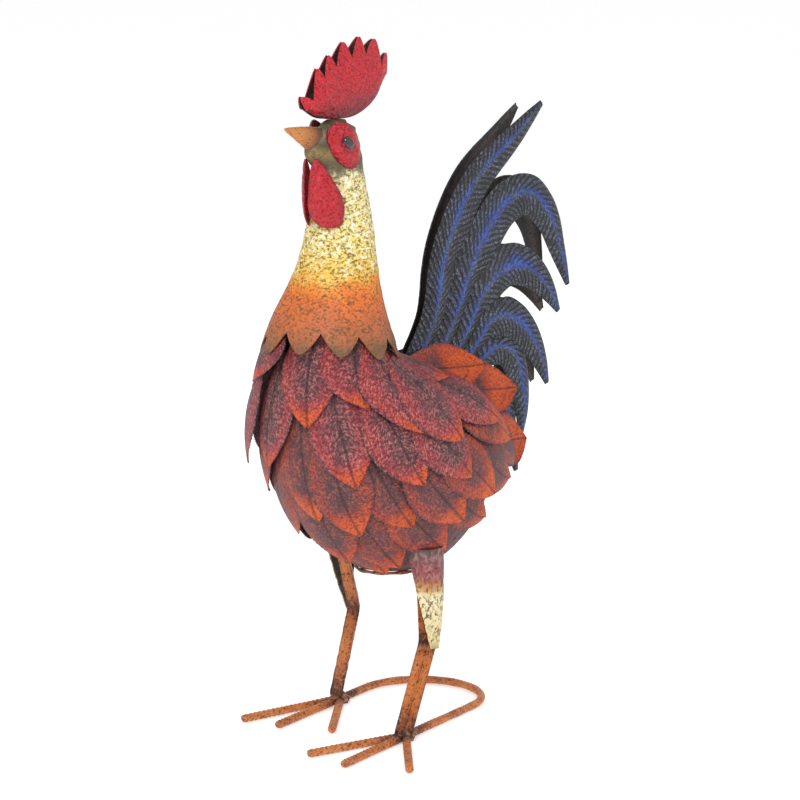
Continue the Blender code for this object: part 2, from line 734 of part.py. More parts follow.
def sickle_line(root_angle, points):
    """Ridge of one sickle, cut into equal steps from its root on the back."""
    root = body_surface(root_angle, math.pi)
    outward = carrier_normal(root_angle, math.pi)
    start = root + outward * TAIL_ROOT_GAP
    line = np.array([(start[0], start[2])] + list(points))
    run = np.concatenate(((0.0,), np.cumsum(np.linalg.norm(np.diff(line, axis=0), axis=1))))
    rows = [(length, *point) for length, point in zip(run, line)]
    steps = int(round(run[-1] / TAIL_STEP))
    return curve_through(rows, np.linspace(0, run[-1], steps + 1))


def sickle_edges(line, above, below):
    """Both edges of a sickle: it keeps its width, then runs out to a blunt point."""
    ahead = np.gradient(line, axis=0)
    ahead = ahead / np.linalg.norm(ahead, axis=1, keepdims=True)
    aside = np.stack((-ahead[:, 1], ahead[:, 0]), axis=-1)
    share = np.linspace(0, 1, len(line))
    taper = ((1 - share ** SICKLE_TAPER) * 0.5)[:, None]
    return (line + aside * (above * taper + SICKLE_TIP_HALF),
            line - aside * (below * taper + SICKLE_TIP_HALF))


def tail_place(point, root, step, share):
    """A point of the tail in a panel of another size, whose roots stay on the back."""
    grown = 1 - (1 - share) * min(step / TAIL_JOIN_STEPS, 1.0)
    return root + (point - root) * grown


def build_tail():
    """Two panels, each one sheet cut into sickles that stay joined near the body."""
    lines = [sickle_line(row[0], row[1]) for row in SICKLES]
    edges = [sickle_edges(line, row[2], row[3]) for line, row in zip(lines, SICKLES)]
    for index, row in enumerate(SICKLES[:-1]):
        for step in range(row[4] + 1):
            middle = (lines[index][step] + lines[index + 1][step]) / 2
            edges[index][1][step] = middle
            edges[index + 1][0][step] = middle
    root = lines[0][0]
    for name, way in (("left", -1), ("right", 1)):
        points = []
        faces = []
        for line, (upper, lower) in zip(lines, edges):
            first = len(points)
            for step, row in enumerate(zip(upper, line, lower)):
                high, ridge, low = (tail_place(point, root, step, TAIL_SHARES[name]) for point in row)
                aside = TAIL_ROOT_HALF_GAP + TAIL_SPLAY * (step * TAIL_STEP) ** 2
                points.append((high[0], way * aside, high[1]))
                points.append((ridge[0], way * (aside + TAIL_RIDGE), ridge[1]))
                points.append((low[0], way * aside, low[1]))
            for face in grid_faces(len(line), 3, False):
                faces.append(tuple(corner + first for corner in face))
        item = make_object(f"tail_{name}", points, faces, "slate")
        thicken(item, TAIL_SHEET)


# Legs and feet


def foot_frame():
    """Unit vectors of the turned feet: ahead, and to the rooster's left."""
    turn = math.radians(FOOT_TURN)
    ahead = np.array((-math.cos(turn), -math.sin(turn), 0.0))
    left = np.array((math.sin(turn), -math.cos(turn), 0.0))
    return ahead, left


def hub(way):
    """Point where a foot's toes meet; way is 1 for the left foot and -1 for the right."""
    ahead, left = foot_frame()
    reach = HUB_AHEAD_LEFT if way > 0 else HUB_AHEAD_RIGHT
    centre = np.array((*LOOP_CENTRE, TOE_ROD / 2))
    return centre + way * FOOT_SPREAD * left + reach * ahead


def build_feet():
    """Three rods a foot; the middle one runs on behind the foot."""
    ahead, left = foot_frame()
    for name, way in (("left", 1), ("right", -1)):
        centre = hub(way)
        toes = TOES_LEFT if way > 0 else TOES_RIGHT
        path = (centre + ahead * toes["middle"][1], centre - ahead * STUB_LENGTH)
        rod(f"toe_middle_{name}", path, TOE_ROD, "rust")
        cutter = rod(f"toe_cutter_{name}", path, TOE_ROD + 2 * FIT_GAP, "rust")
        for toe in ("outer", "inner"):
            turn, length = toes[toe]
            splay = math.radians(turn)
            along = ahead * math.cos(splay) + left * math.sin(splay)
            item = rod(f"toe_{toe}_{name}", (centre + along * length, centre), TOE_ROD, "rust")
            cut_by(item, cutter)


def build_loop():
    """The U that joins both middle rods behind the feet."""
    ahead, left = foot_frame()
    centre = np.array((*LOOP_CENTRE, LOOP_ROD / 2))
    start = HUB_AHEAD_LEFT - STUB_LENGTH - FIT_GAP
    end = HUB_AHEAD_RIGHT - STUB_LENGTH - LOOP_WELD_GAP
    path = [centre + left * FOOT_SPREAD + ahead * start]
    last_turn = 180 + math.degrees(math.asin(end / FOOT_SPREAD))
    for turn in np.radians(np.linspace(0, last_turn, LOOP_STEPS)):
        path.append(centre + FOOT_SPREAD * (left * math.cos(turn) - ahead * math.sin(turn)))
    rod("rear_loop", path, LOOP_ROD, "rust")


def channel(opening, flange, sheet):
    """Outline of a folded strip, seen from above, its fold away from the opening."""
    way = math.radians(opening)
    ahead = np.array((math.cos(way), math.sin(way)))
    aside = np.array((-ahead[1], ahead[0]))
    fold = -ahead * flange * 0.35
    slant = math.sqrt(0.5)
    points = [fold]
    points.append(fold + (ahead - aside) * slant * flange)
    points.append(points[-1] + (ahead + aside) * slant * sheet)
    points.append(fold + ahead * sheet / slant)
    far = fold + (ahead + aside) * slant * flange
    points.append(far + (ahead - aside) * slant * sheet)
    points.append(far)
    return points


def thigh_volume(name, hock, hip):
    """Round volume about the thigh that the feathers stay clear of."""
    radius = COVER_TOP_RADIUS + COVER_SHEET + FIT_GAP
    rings = []
    for share in NOTCH_SHARES:
        centre = np.array(hock) + (np.array(hip) - np.array(hock)) * share
        rings.append([centre + (radius * math.cos(turn), radius * math.sin(turn), 0.0)
                      for turn in np.linspace(0, 2 * math.pi, NOTCH_SIDES, endpoint=False)])
    return loft(name, rings, "mauve")


def build_legs(body):
    """Folded strips bent at the hock, with a curved cover outside each thigh."""
    settings = (("left", 1, HOCK_LEFT, HIP_LEFT, LEG_OPENING_LEFT, -1),
                ("right", -1, HOCK_RIGHT, HIP_RIGHT, LEG_OPENING_RIGHT, 1))
    for name, way, hock, hip, opening, side in settings:
        notch = thigh_volume(f"thigh_cutter_{name}", hock, hip)
        cut_by(bpy.data.objects["band_d"], notch)
        outline = channel(opening, LEG_FLANGE, LEG_SHEET)
        foot = hub(way) + foot_frame()[0] * LEG_FOOT_AHEAD
        foot[2] = TOE_ROD + FIT_GAP
        rings = []
        for point in (foot, hock, hip):
            rings.append([(point[0] + x, point[1] + y, point[2]) for x, y in outline])
        leg = loft(f"leg_{name}", rings, "rust", False)
        cut_by(leg, body)
        points = []
        for share in np.linspace(0, 1, 6):
            height = (hip[2] - COVER_TOP_DROP) * (1 - share) + COVER_BOTTOM_HEIGHT * share
            climb = (height - hock[2]) / (hip[2] - hock[2])
            centre = np.array(hock) + (np.array(hip) - np.array(hock)) * climb
            radius = COVER_TOP_RADIUS + (COVER_BOTTOM_RADIUS - COVER_TOP_RADIUS) * share
            half = math.radians(COVER_TOP_ANGLE + (COVER_BOTTOM_ANGLE - COVER_TOP_ANGLE) * share)
            for turn in np.linspace(-half, half, 9) - math.radians(COVER_TURN) * (1 + 0.4 * share):
                points.append((centre[0] + radius * math.sin(turn), centre[1] + side * radius * math.cos(turn),
                               height))
        cover = make_object(f"thigh_cover_{name}", points, grid_faces(6, 9, False), "mauve")
        thicken(cover, COVER_SHEET)
        cut_by(cover, body)


def move_to_origin():
    """Move everything so that the origin is the bounding box's bottom centre."""
    bpy.context.view_layer.update()
    depsgraph = bpy.context.evaluated_depsgraph_get()
    corners = []
    for item in bpy.data.objects:
        if item.hide_render:
            continue
        shown = item.evaluated_get(depsgraph)
        mesh = shown.to_mesh()
        places = np.array([item.matrix_world @ vertex.co for vertex in mesh.vertices])
        corners.append(places.min(axis=0))
        corners.append(places.max(axis=0))
        shown.to_mesh_clear()
    low = np.min(corners, axis=0)
    high = np.max(corners, axis=0)
    shift = -np.array(((low[0] + high[0]) / 2, (low[1] + high[1]) / 2, low[2]))
    for item in bpy.data.objects:
        item.location = np.array(item.location) + shift


def build():
    """Make the whole statue."""
    remove_scene_objects()
    build_body()
    build_belly_ring()
    build_feathers()
    build_rump_feathers()
    build_neck()
    head = head_cutter()
    build_face(head)
    build_comb(head)
    build_wattles()
    build_tail()
    build_feet()
    build_loop()
    build_legs(body_volume("body_cutter", LEG_GAP))
    move_to_origin()


build()
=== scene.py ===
"""Rooster garden statue of painted sheet steel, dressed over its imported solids."""
import logging
import math
from contextlib import contextmanager
from dataclasses import dataclass, field
from enum import Enum
from typing import Callable, Iterator

import bpy
import numpy as np
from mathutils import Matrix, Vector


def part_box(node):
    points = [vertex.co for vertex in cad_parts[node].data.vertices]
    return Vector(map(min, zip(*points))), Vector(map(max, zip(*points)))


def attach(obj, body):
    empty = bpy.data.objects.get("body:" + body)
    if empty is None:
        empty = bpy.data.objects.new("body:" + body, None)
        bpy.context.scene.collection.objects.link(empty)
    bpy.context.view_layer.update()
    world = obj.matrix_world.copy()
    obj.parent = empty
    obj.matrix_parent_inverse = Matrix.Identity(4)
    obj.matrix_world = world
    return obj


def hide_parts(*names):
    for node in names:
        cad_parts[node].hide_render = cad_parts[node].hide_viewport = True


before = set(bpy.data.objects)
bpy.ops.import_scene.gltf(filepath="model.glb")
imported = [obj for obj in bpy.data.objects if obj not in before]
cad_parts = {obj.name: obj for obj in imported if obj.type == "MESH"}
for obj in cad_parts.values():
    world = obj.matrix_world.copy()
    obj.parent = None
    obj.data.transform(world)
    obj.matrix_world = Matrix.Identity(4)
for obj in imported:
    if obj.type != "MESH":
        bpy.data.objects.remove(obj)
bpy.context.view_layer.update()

LOG = logging.getLogger("rooster")
Array = np.ndarray
Share = Callable[[Array], Array]
Radius = Callable[[Array, Array], Array]

# Distances in metres under which doubled vertices become one: at poles, at seams,
# on walls that were given their thickness, and between the tail's strips
POLE_REACH = 2e-5
SEAM_REACH = 1e-5
WALL_REACH = 1e-6
STRIP_REACH = 2e-4
# Edges that turn by more degrees than this stay sharp
SHARP_EDGE = 42.0

# The sizes below are in the layout's own axes, whose origin lies under the rump.
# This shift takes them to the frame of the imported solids.
SHIFT = np.array((-0.06911618, 0.01898258, 0.0))


class Side(Enum):
    """Side of the rooster: the sign of Y on it."""

    LEFT = -1
    RIGHT = 1

    @property
    def word(self) -> str:
        """The side's name as the nodes spell it."""
        return self.name.lower()


# Small tools


def linear(code: str) -> tuple[float, float, float, float]:
    """Turn an sRGB hex colour into linear values.

    Args:
        code: Six hex digits, with or without a leading hash.

    Returns:
        Linear red, green, blue and an alpha of one.
    """
    parts = [int(code.lstrip("#")[i:i + 2], 16) / 255 for i in (0, 2, 4)]
    return (*[p / 12.92 if p <= 0.04045 else ((p + 0.055) / 1.055) ** 2.4 for p in parts], 1.0)


def add(tree: bpy.types.NodeTree, kind: str, inputs: dict | None = None, stops: tuple = (),
        **settings) -> bpy.types.Node:
    """Add one shader node.

    Args:
        tree: The material's node tree.
        kind: Node type without its ShaderNode prefix.
        inputs: Socket name or index to a value, a node or a socket.
        stops: Position and hex colour or grey value of each stop of a colour ramp.
        **settings: Properties of the node.

    Returns:
        The new node.
    """
    node = tree.nodes.new("ShaderNode" + kind)
    for key, value in settings.items():
        setattr(node, key, value)
    for index, (place, colour) in enumerate(stops):
        elements = node.color_ramp.elements
        stop = elements[index] if index < 2 else elements.new(place)
        stop.position = place
        stop.color = linear(colour) if isinstance(colour, str) else (colour, colour, colour, 1.0)
    for key, value in (inputs or {}).items():
        if isinstance(value, bpy.types.Node):
            value = value.outputs[0]
        if isinstance(value, bpy.types.NodeSocket):
            tree.links.new(value, node.inputs[key])
        else:
            node.inputs[key].default_value = value
    return node


def curve_through(rows: tuple, positions: Array) -> Array:
    """Values between the rows of a table, on a smooth curve through all of them.

    Args:
        rows: Rows of a key and its values, keys rising.
        positions: Keys to read at.

    Returns:
        The values, one row for each position.
    """
    table = np.array(rows, dtype=float)
    keys, values = table[:, 0], table[:, 1:]
    slopes = np.gradient(values, keys, axis=0)
    at = np.clip(np.asarray(positions, dtype=float), keys[0], keys[-1])
    low = np.clip(np.searchsorted(keys, at, side="right") - 1, 0, len(keys) - 2)
    span = (keys[low + 1] - keys[low])[..., None]
    part = (at - keys[low])[..., None] / span
    return ((1 + 2 * part) * (1 - part) ** 2 * values[low]
            + part * (1 - part) ** 2 * span * slopes[low]
            + part ** 2 * (3 - 2 * part) * values[low + 1]
            + part ** 2 * (part - 1) * span * slopes[low + 1])


def lumps(points: Array, pitch: float, seed: int = 1) -> Array:
    """Smooth uneven waves in space, for hammered and welded metal.

    Args:
        points: Places in metres, one row each.
        pitch: Rough distance between bumps in metres.
        seed: Number that picks the pattern.

    Returns:
        Values from about -1 to 1.
    """
    random = np.random.default_rng(seed)
    total = np.zeros(len(points))
    for _ in range(7):
        way = random.normal(size=3)
        way = way / np.linalg.norm(way) * 2 * math.pi / pitch * random.uniform(0.7, 1.5)
        total += np.sin(points @ way + random.uniform(0, 6.28))
    return total / 3.2


def deselect() -> None:
    """Deselect every object."""
    for other in bpy.context.selected_objects:
        other.select_set(False)


def only(item: bpy.types.Object) -> None:
    """Select one object alone and make it active.

    Args:
        item: The object.
    """
    deselect()
    item.select_set(True)
    bpy.context.view_layer.objects.active = item


@contextmanager
def whole_mesh(item: bpy.types.Object) -> Iterator[None]:
    """Open an object in edit mode with all of its mesh selected.

    Args:
        item: The object.

    Yields:
        Nothing, while edit mode is on.
    """
    only(item)
    bpy.ops.object.mode_set(mode="EDIT")
    bpy.ops.mesh.select_all(action="SELECT")
    yield
    bpy.ops.object.mode_set(mode="OBJECT")


def vertices(item: bpy.types.Object) -> Array:
    """The places of an object's vertices, one row each."""
    return np.array([vertex.co for vertex in item.data.vertices])


def sheet_grid(name: str, columns: int, rows: int) -> tuple[bpy.types.Object, Array, Array]:
    """Add a flat grid that is then bent to shape.

    Args:
        name: Name of the object.
        columns: Cells across.
        rows: Cells along.

    Returns:
        The object, and for each vertex its place across (-1 to 1) and along (0 to 1).
    """
    deselect()
    bpy.ops.mesh.primitive_grid_add(x_subdivisions=columns, y_subdivisions=rows, size=2.0)
    item = bpy.context.active_object
    item.name = item.data.name = name
    flat = np.empty(len(item.data.vertices) * 3)
    item.data.vertices.foreach_get("co", flat)
    flat = flat.reshape(-1, 3)
    return item, flat[:, 0].copy(), (flat[:, 1] + 1) / 2


def bend(item: bpy.types.Object, points: Array, marks: dict | None = None) -> None:
    """Give an object's vertices their places and painted marks.

    Args:
        item: The object.
        points: Places in metres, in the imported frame.
        marks: Attribute names, each with one value for every vertex.
    """
    item.data.vertices.foreach_set("co", np.asarray(points, float).ravel())
    for key, values in (marks or {}).items():
        layer = item.data.attributes.new(key, "FLOAT", "POINT")
        layer.data.foreach_set("value", np.broadcast_to(values, len(points)).astype(float))
    item.data.update()


def close_up(item: bpy.types.Object, reach: float = POLE_REACH) -> None:
    """Merge doubled vertices and turn the faces outward, in edit mode.

    Args:
        item: The object.
        reach: Merge distance in metres.
    """
    with whole_mesh(item):
        bpy.ops.mesh.remove_doubles(threshold=reach)
        bpy.ops.mesh.normals_make_consistent(inside=False)


def apply(item: bpy.types.Object, name: str, kind: str, **settings) -> None:
    """Add a modifier with its settings and apply it.

    Args:
        item: The object.
        name: Name of the modifier.
        kind: Its type.
        **settings: Its properties.
    """
    modifier = item.modifiers.new(name, kind)
    for key, value in settings.items():
        setattr(modifier, key, value)
    only(item)
    bpy.ops.object.modifier_apply(modifier=name)


def wall(item: bpy.types.Object, sheet: float, offset: float = 0.0, inner: int = 0) -> None:
    """Give a sheet its thickness.

    Args:
        item: The object.
        sheet: Thickness in metres.
        offset: -1 inward, 0 both ways, 1 outward.
        inner: Steps from the outer face's material to the inner one's.
    """
    apply(item, "sheet", "SOLIDIFY", thickness=sheet, offset=offset, use_even_offset=False,
          material_offset=inner)


def join(items: list[bpy.types.Object], name: str) -> bpy.types.Object:
    """Join several objects to one.

    Args:
        items: The objects.
        name: Name of the joined object.

    Returns:
        The joined object.
    """
    only(items[0])
    for item in items:
        item.select_set(True)
    bpy.ops.object.join()
    items[0].name = items[0].data.name = name
    return items[0]


def two_faced(item: bpy.types.Object, outer: bpy.types.Material, inner: bpy.types.Material,
              sheet: float) -> None:
    """Give a sheet its thickness, with another finish on its inner face.

    Args:
        item: The object, its normals pointing out.
        outer: Finish of the outer face.
        inner: Finish of the inner face.
        sheet: Thickness in metres.
    """
    item.data.materials.append(outer)
    item.data.materials.append(inner)
    wall(item, sheet, inner=1)
    close_up(item, WALL_REACH)


def face_out(item: bpy.types.Object, way: Array) -> None:
    """Turn a sheet's faces over where most of them point against a direction.

    Args:
        item: The object.
        way: Direction that its outer face looks in.
    """
    normals = np.empty(len(item.data.polygons) * 3)
    item.data.polygons.foreach_get("normal", normals)
    if (normals.reshape(-1, 3) @ np.asarray(way, float)).sum() < 0:
        with whole_mesh(item):
            bpy.ops.mesh.flip_normals()


def finish(item: bpy.types.Object, material: bpy.types.Material, slot: str, *nodes: str) -> None:
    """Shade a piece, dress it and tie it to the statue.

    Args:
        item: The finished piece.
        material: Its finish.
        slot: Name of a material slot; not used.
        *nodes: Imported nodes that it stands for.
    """
    if not item.data.materials:
        item.data.materials.append(material)
    only(item)
    bpy.ops.object.shade_smooth_by_angle(angle=math.radians(SHARP_EDGE))
    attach(item, "root")
    if nodes:
        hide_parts(*nodes)
    LOG.info("%s: %d faces", item.name, len(item.data.polygons))


def tube(name: str, path: Array, radius: Radius, columns: int, rows: int,
         closed: bool = False) -> bpy.types.Object:
    """A bent rod along a path that lies level or nearly so.

    Args:
        name: Name of the object.
        path: Points of the middle line.
        radius: Radius from the angle round the rod and the distance along it.
        columns: Faces round.
        rows: Faces along.
        closed: Whether the path runs into its own start.

    Returns:
        The rod, with its distance along in the attribute run.
    """
    path = np.asarray(path, float)
    steps = np.linalg.norm(np.diff(path, axis=0), axis=1)
    run = np.concatenate(((0.0,), np.cumsum(steps)))
    item, across, along = sheet_grid(name, columns, rows)
    cap = 0.0 if closed else 2.0 / rows
    share = np.clip((along - cap / 2) / (1 - cap), 0, 1)
    at = share * run[-1]
    centre = np.stack([np.interp(at, run, path[:, axis]) for axis in range(3)], axis=-1)
    step = run[-1] / rows
    ends = (at + step) % run[-1] if closed else np.minimum(at + step, run[-1])
    starts = (at - step) % run[-1] if closed else np.maximum(at - step, 0)
    ahead = np.stack([np.interp(ends, run, path[:, axis]) - np.interp(starts, run, path[:, axis])
                      for axis in range(3)], axis=-1)
    ahead /= np.linalg.norm(ahead, axis=1, keepdims=True)
    aside = np.cross((0.0, 0.0, 1.0), ahead)
    aside /= np.linalg.norm(aside, axis=1, keepdims=True)
    up = np.cross(ahead, aside)
    turn = across * math.pi
    size = radius(turn, at)
    if not closed:
        size = size * np.where((along < cap / 4) | (along > 1 - cap / 4), 0.0, 1.0)
        near_end = np.minimum(at, run[-1] - at)
        size = size * np.where(near_end < 1e-6, 0.86, 1.0)
    points = centre + aside * (size * np.cos(turn))[:, None] + up * (size * np.sin(turn))[:, None]
    bend(item, points + SHIFT, {"run": at})
    close_up(item)
    return item


# Finishes


@dataclass(frozen=True)
class Finish:
    """A painted finish, made at its first use and shared after that."""

    name: str
    stops: tuple

    def make(self) -> bpy.types.Material:
        """The finish's one material.

        Returns:
            The material, painted when it is new.
        """
        if self.name not in bpy.data.materials:
            material = bpy.data.materials.new(self.name)
            material.use_nodes = True
            material.node_tree.nodes.clear()
            self.paint(material.node_tree)
        return bpy.data.materials[self.name]

    def paint(self, tree: bpy.types.NodeTree) -> None:
        """Add the finish's own nodes to an empty tree."""
        raise NotImplementedError(self.name)


@dataclass(frozen=True)
class Enamel(Finish):
    """Weathered enamel on sheet steel, rubbed and speckled by hand.

    Brushed enamel gives an uneven satin coat whose pits hold dark glaze. The colour
    runs through stops over the attribute grade, or over the height in metres.
    """

    speck: str = "#4A3A22"
    speck_share: float = 0.45
    speck_mm: float = 2.6
    rub: str = "#E8D9C0"
    rub_share: float = 0.0
    rub_span: tuple = (0.0, 0.01, 0.99, 1.0)
    drift: float = 0.25
    roughness: float = 0.5
    relief_mm: float = 0.35
    dimple_mm: float = 0.0
    low_z: float = 0.0
    high_z: float = 0.0
    flatten: float = 1.0
    coat: float = 0.0

    def paint(self, tree: bpy.types.NodeTree) -> None:
        """Lay the coats from the ground colour to the gloss.

        Args:
            tree: The material's empty node tree.
        """
        place = add(tree, "TexCoord").outputs["Object"]
        if self.high_z > self.low_z:
            height = add(tree, "SeparateXYZ", {0: place}).outputs["Z"]
            grade = add(tree, "MapRange", {"Value": height, "From Min": self.low_z, "From Max": self.high_z})
        else:
            grade = add(tree, "Attribute", attribute_name="grade").outputs["Fac"]
        flat = add(tree, "Mapping", {"Vector": place, "Scale": (1.0, 1.0, self.flatten)})
        broad = add(tree, "TexNoise", {"Vector": place, "Scale": 48.0, "Detail": 3.0})
        fine = add(tree, "TexNoise", {"Vector": flat, "Scale": 800 / self.speck_mm, "Detail": 4.0,
                                      "Roughness": 0.62})
        other = add(tree, "TexNoise", {"Vector": flat, "Scale": 500 / self.speck_mm, "Detail": 3.0,
                                       "Distortion": 0.6})
        shift = add(tree, "Math", {0: broad, 1: 0.5}, operation="SUBTRACT")
        graded = add(tree, "Math", {0: shift, 1: self.drift, 2: grade}, operation="MULTIPLY_ADD")
        colour = add(tree, "ValToRGB", {"Fac": graded}, stops=self.stops)
        if self.rub_share:
            high = add(tree, "ValToRGB", {"Fac": other}, stops=((0.50, 0.0), (0.60, self.rub_share)))
            window = tuple(zip(self.rub_span, (0.0, 1.0, 1.0, 0.0)))
            span = add(tree, "ValToRGB", {"Fac": graded}, stops=window)
            high = add(tree, "Math", {0: high, 1: span}, operation="MULTIPLY")
            colour = add(tree, "MixRGB", {"Fac": high, "Color1": colour, "Color2": linear(self.rub)})
        edge = 0.64 - 0.16 * self.speck_share
        specks = add(tree, "ValToRGB", {"Fac": fine}, stops=((edge - 0.025, 0.0), (edge + 0.035, 0.9)))
        patch = add(tree, "ValToRGB", {"Fac": other}, stops=((0.40, 1.0), (0.62, 0.30)))
        amount = add(tree, "Math", {0: specks, 1: patch}, operation="MULTIPLY")
        colour = add(tree, "MixRGB", {"Fac": amount, "Color1": colour, "Color2": linear(self.speck)})
        relief = fine
        if self.dimple_mm:
            cells = add(tree, "TexVoronoi", {"Vector": place, "Scale": 1000 / self.dimple_mm,
                                             "Smoothness": 0.5}, feature="SMOOTH_F1")
            hollow = add(tree, "ValToRGB", {"Fac": cells}, stops=((0.05, 0.70), (0.38, 0.0)))
            colour = add(tree, "MixRGB", {"Fac": hollow, "Color1": colour, "Color2": linear(self.speck)})
            relief = add(tree, "Math", {0: cells, 1: 1.6, 2: fine}, operation="MULTIPLY_ADD")
        bump = add(tree, "Bump", {"Height": relief, "Strength": 1.0, "Distance": self.relief_mm / 1000})
        gloss = add(tree, "ValToRGB", {"Fac": fine}, stops=((0.3, self.roughness - 0.08),
                                                           (0.7, self.roughness + 0.15)))
        shader = add(tree, "BsdfPrincipled", {"Base Color": colour, "Roughness": gloss, "Normal": bump,
                                              "Coat Weight": self.coat, "Coat Roughness": 0.18})
        add(tree, "OutputMaterial", {"Surface": shader})


@dataclass(frozen=True)
class StampedEnamel(Finish):
    """Enamel on pressed steel with a slanting grain, dry-brushed over its high spots.

    It reads the attributes grade (middle to margin), vein (millimetres across the
    slanting grain) and rib (share of the half width from the midrib).
    """

    brush: str
    brush_share: float
    pit: str
    pit_share: float
    # Colour and strength of the line along the midrib: on the feathers, painted shade in the midrib's groove;
    # on the tail, blue along the ridge
    groove: str = "#33191D"
    groove_share: float = 0.6
    grain_mm: float = 1.5
    grain_long: float = 7.0
    relief_mm: float = 0.7
    bar_mm: float = 0.0
    drift: float = 0.5
    roughness: float = 0.46

    def paint(self, tree: bpy.types.NodeTree) -> None:
        """Lay the coats from the ground colour to the gloss.

        Args:
            tree: The material's empty node tree.
        """
        place = add(tree, "TexCoord").outputs["Object"]
        grade = add(tree, "Attribute", attribute_name="grade").outputs["Fac"]
        vein = add(tree, "Attribute", attribute_name="vein").outputs["Fac"]
        rib = add(tree, "Attribute", attribute_name="rib").outputs["Fac"]
        broad = add(tree, "TexNoise", {"Vector": place, "Scale": 85.0, "Detail": 4.0})
        pair = add(tree, "CombineXYZ", {"X": vein, "Y": rib})
        along = add(tree, "VectorMath", {0: pair, 1: (1 / self.grain_mm, self.grain_long, 1.0)},
                    operation="MULTIPLY")
        grain = add(tree, "TexNoise", {"Vector": along, "Scale": 1.0, "Detail": 3.0, "Roughness": 0.6})
        flecks = add(tree, "TexNoise", {"Vector": place, "Scale": 430.0, "Detail": 3.0, "Roughness": 0.6})
        shift = add(tree, "Math", {0: broad, 1: 0.5}, operation="SUBTRACT")
        graded = add(tree, "Math", {0: shift, 1: self.drift, 2: grade}, operation="MULTIPLY_ADD")
        colour = add(tree, "ValToRGB", {"Fac": graded}, stops=self.stops)
        mixed = add(tree, "Math", {0: grain, 1: flecks}, operation="ADD")
        level = add(tree, "Math", {0: mixed, 1: 0.5}, operation="MULTIPLY")
        pits = add(tree, "ValToRGB", {"Fac": level}, stops=((0.43, self.pit_share), (0.50, 0.0)))
        colour = add(tree, "MixRGB", {"Fac": pits, "Color1": colour, "Color2": linear(self.pit)})
        caught = add(tree, "ValToRGB", {"Fac": level}, stops=((0.50, 0.0), (0.58, 1.0)))
        middle = add(tree, "MapRange", {"Value": graded, "From Min": 0.95, "From Max": 0.45,
                                        "To Min": 0.10, "To Max": self.brush_share})
        worn = add(tree, "ValToRGB", {"Fac": broad}, stops=((0.36, 0.35), (0.56, 1.0)))
        caught = add(tree, "Math", {0: caught, 1: middle}, operation="MULTIPLY")
        caught = add(tree, "Math", {0: caught, 1: worn}, operation="MULTIPLY")
        colour = add(tree, "MixRGB", {"Fac": caught, "Color1": colour, "Color2": linear(self.brush)})
        relief = mixed
        if self.bar_mm:
            turn = add(tree, "Math", {0: vein, 1: 2 * math.pi / self.bar_mm}, operation="MULTIPLY")
            turn = add(tree, "Math", {0: broad, 1: 5.0, 2: turn}, operation="MULTIPLY_ADD")
            wave = add(tree, "Math", {0: turn}, operation="SINE")
            gap = add(tree, "MapRange", {"Value": wave, "From Min": 0.0, "From Max": -0.8})
            away = add(tree, "MapRange", {"Value": rib, "From Min": 0.06, "From Max": 0.25, "To Max": 0.85})
            gap = add(tree, "Math", {0: gap, 1: away}, operation="MULTIPLY")
            colour = add(tree, "MixRGB", {"Fac": gap, "Color1": colour, "Color2": linear(self.pit)})
            relief = add(tree, "Math", {0: gap, 1: -1.6, 2: mixed}, operation="MULTIPLY_ADD")
        # Line along the midrib: painted shade in the feathers' groove, a thin blue line on the tail's ridge
        line = add(tree, "ValToRGB", {"Fac": rib}, stops=((0.015, 1.0), (0.055, 0.0)))
        dark = add(tree, "Math", {0: line, 1: self.groove_share}, operation="MULTIPLY")
        colour = add(tree, "MixRGB", {"Fac": dark, "Color1": colour, "Color2": linear(self.groove)})
        relief = add(tree, "Math", {0: relief, 1: dark}, operation="SUBTRACT")
        bump = add(tree, "Bump", {"Height": relief, "Strength": 1.0, "Distance": self.relief_mm / 1000})
        gloss = add(tree, "ValToRGB", {"Fac": flecks}, stops=((0.3, self.roughness - 0.06),
                                                             (0.7, self.roughness + 0.16)))
        shader = add(tree, "BsdfPrincipled", {"Base Color": colour, "Roughness": gloss, "Normal": bump})
        add(tree, "OutputMaterial", {"Surface": shader})


# Red and maroon enamel of the upper feathers: mauve middle, crimson sides, orange tip
FEATHER_ENAMEL = StampedEnamel(
    "feather_enamel", ((0.0, "#4E3238"), (0.14, "#70363E"), (0.34, "#9C2C38"), (0.56, "#B2342C"),
                       (0.76, "#D04A1C"), (1.0, "#E05A18")),
    brush="#DC948C", brush_share=0.60, pit="#34161C", pit_share=0.72, grain_mm=1.05, grain_long=11.0,
    relief_mm=1.4)
# The lower feathers are smoother, with a dark blotch in the middle and a red-orange margin
FLAME_ENAMEL = StampedEnamel(
    "flame_enamel", ((0.0, "#52323A"), (0.18, "#6E343A"), (0.38, "#96362E"), (0.60, "#B84222"),
                     (0.80, "#CE4C1A"), (1.0, "#DC5A1A")),
    brush="#D8825C", brush_share=0.34, pit="#46201C", pit_share=0.78, grain_mm=1.05, grain_long=11.0,
    relief_mm=1.1, drift=0.75)
# Charcoal enamel of the tail with blue ridges and silver dragged over the embossing
TAIL_ENAMEL = StampedEnamel(
    "tail_enamel", ((0.0, "#28292E"), (0.30, "#343946"), (0.52, "#34406A"), (0.75, "#2A4798"),
                    (1.0, "#3A5EBC")),
    brush="#8E98AC", brush_share=0.60, pit="#131419", pit_share=0.75, groove="#3458B4", groove_share=0.12,
    grain_mm=1.3, grain_long=12.0, relief_mm=1.1, bar_mm=7.2, drift=0.9, roughness=0.42)
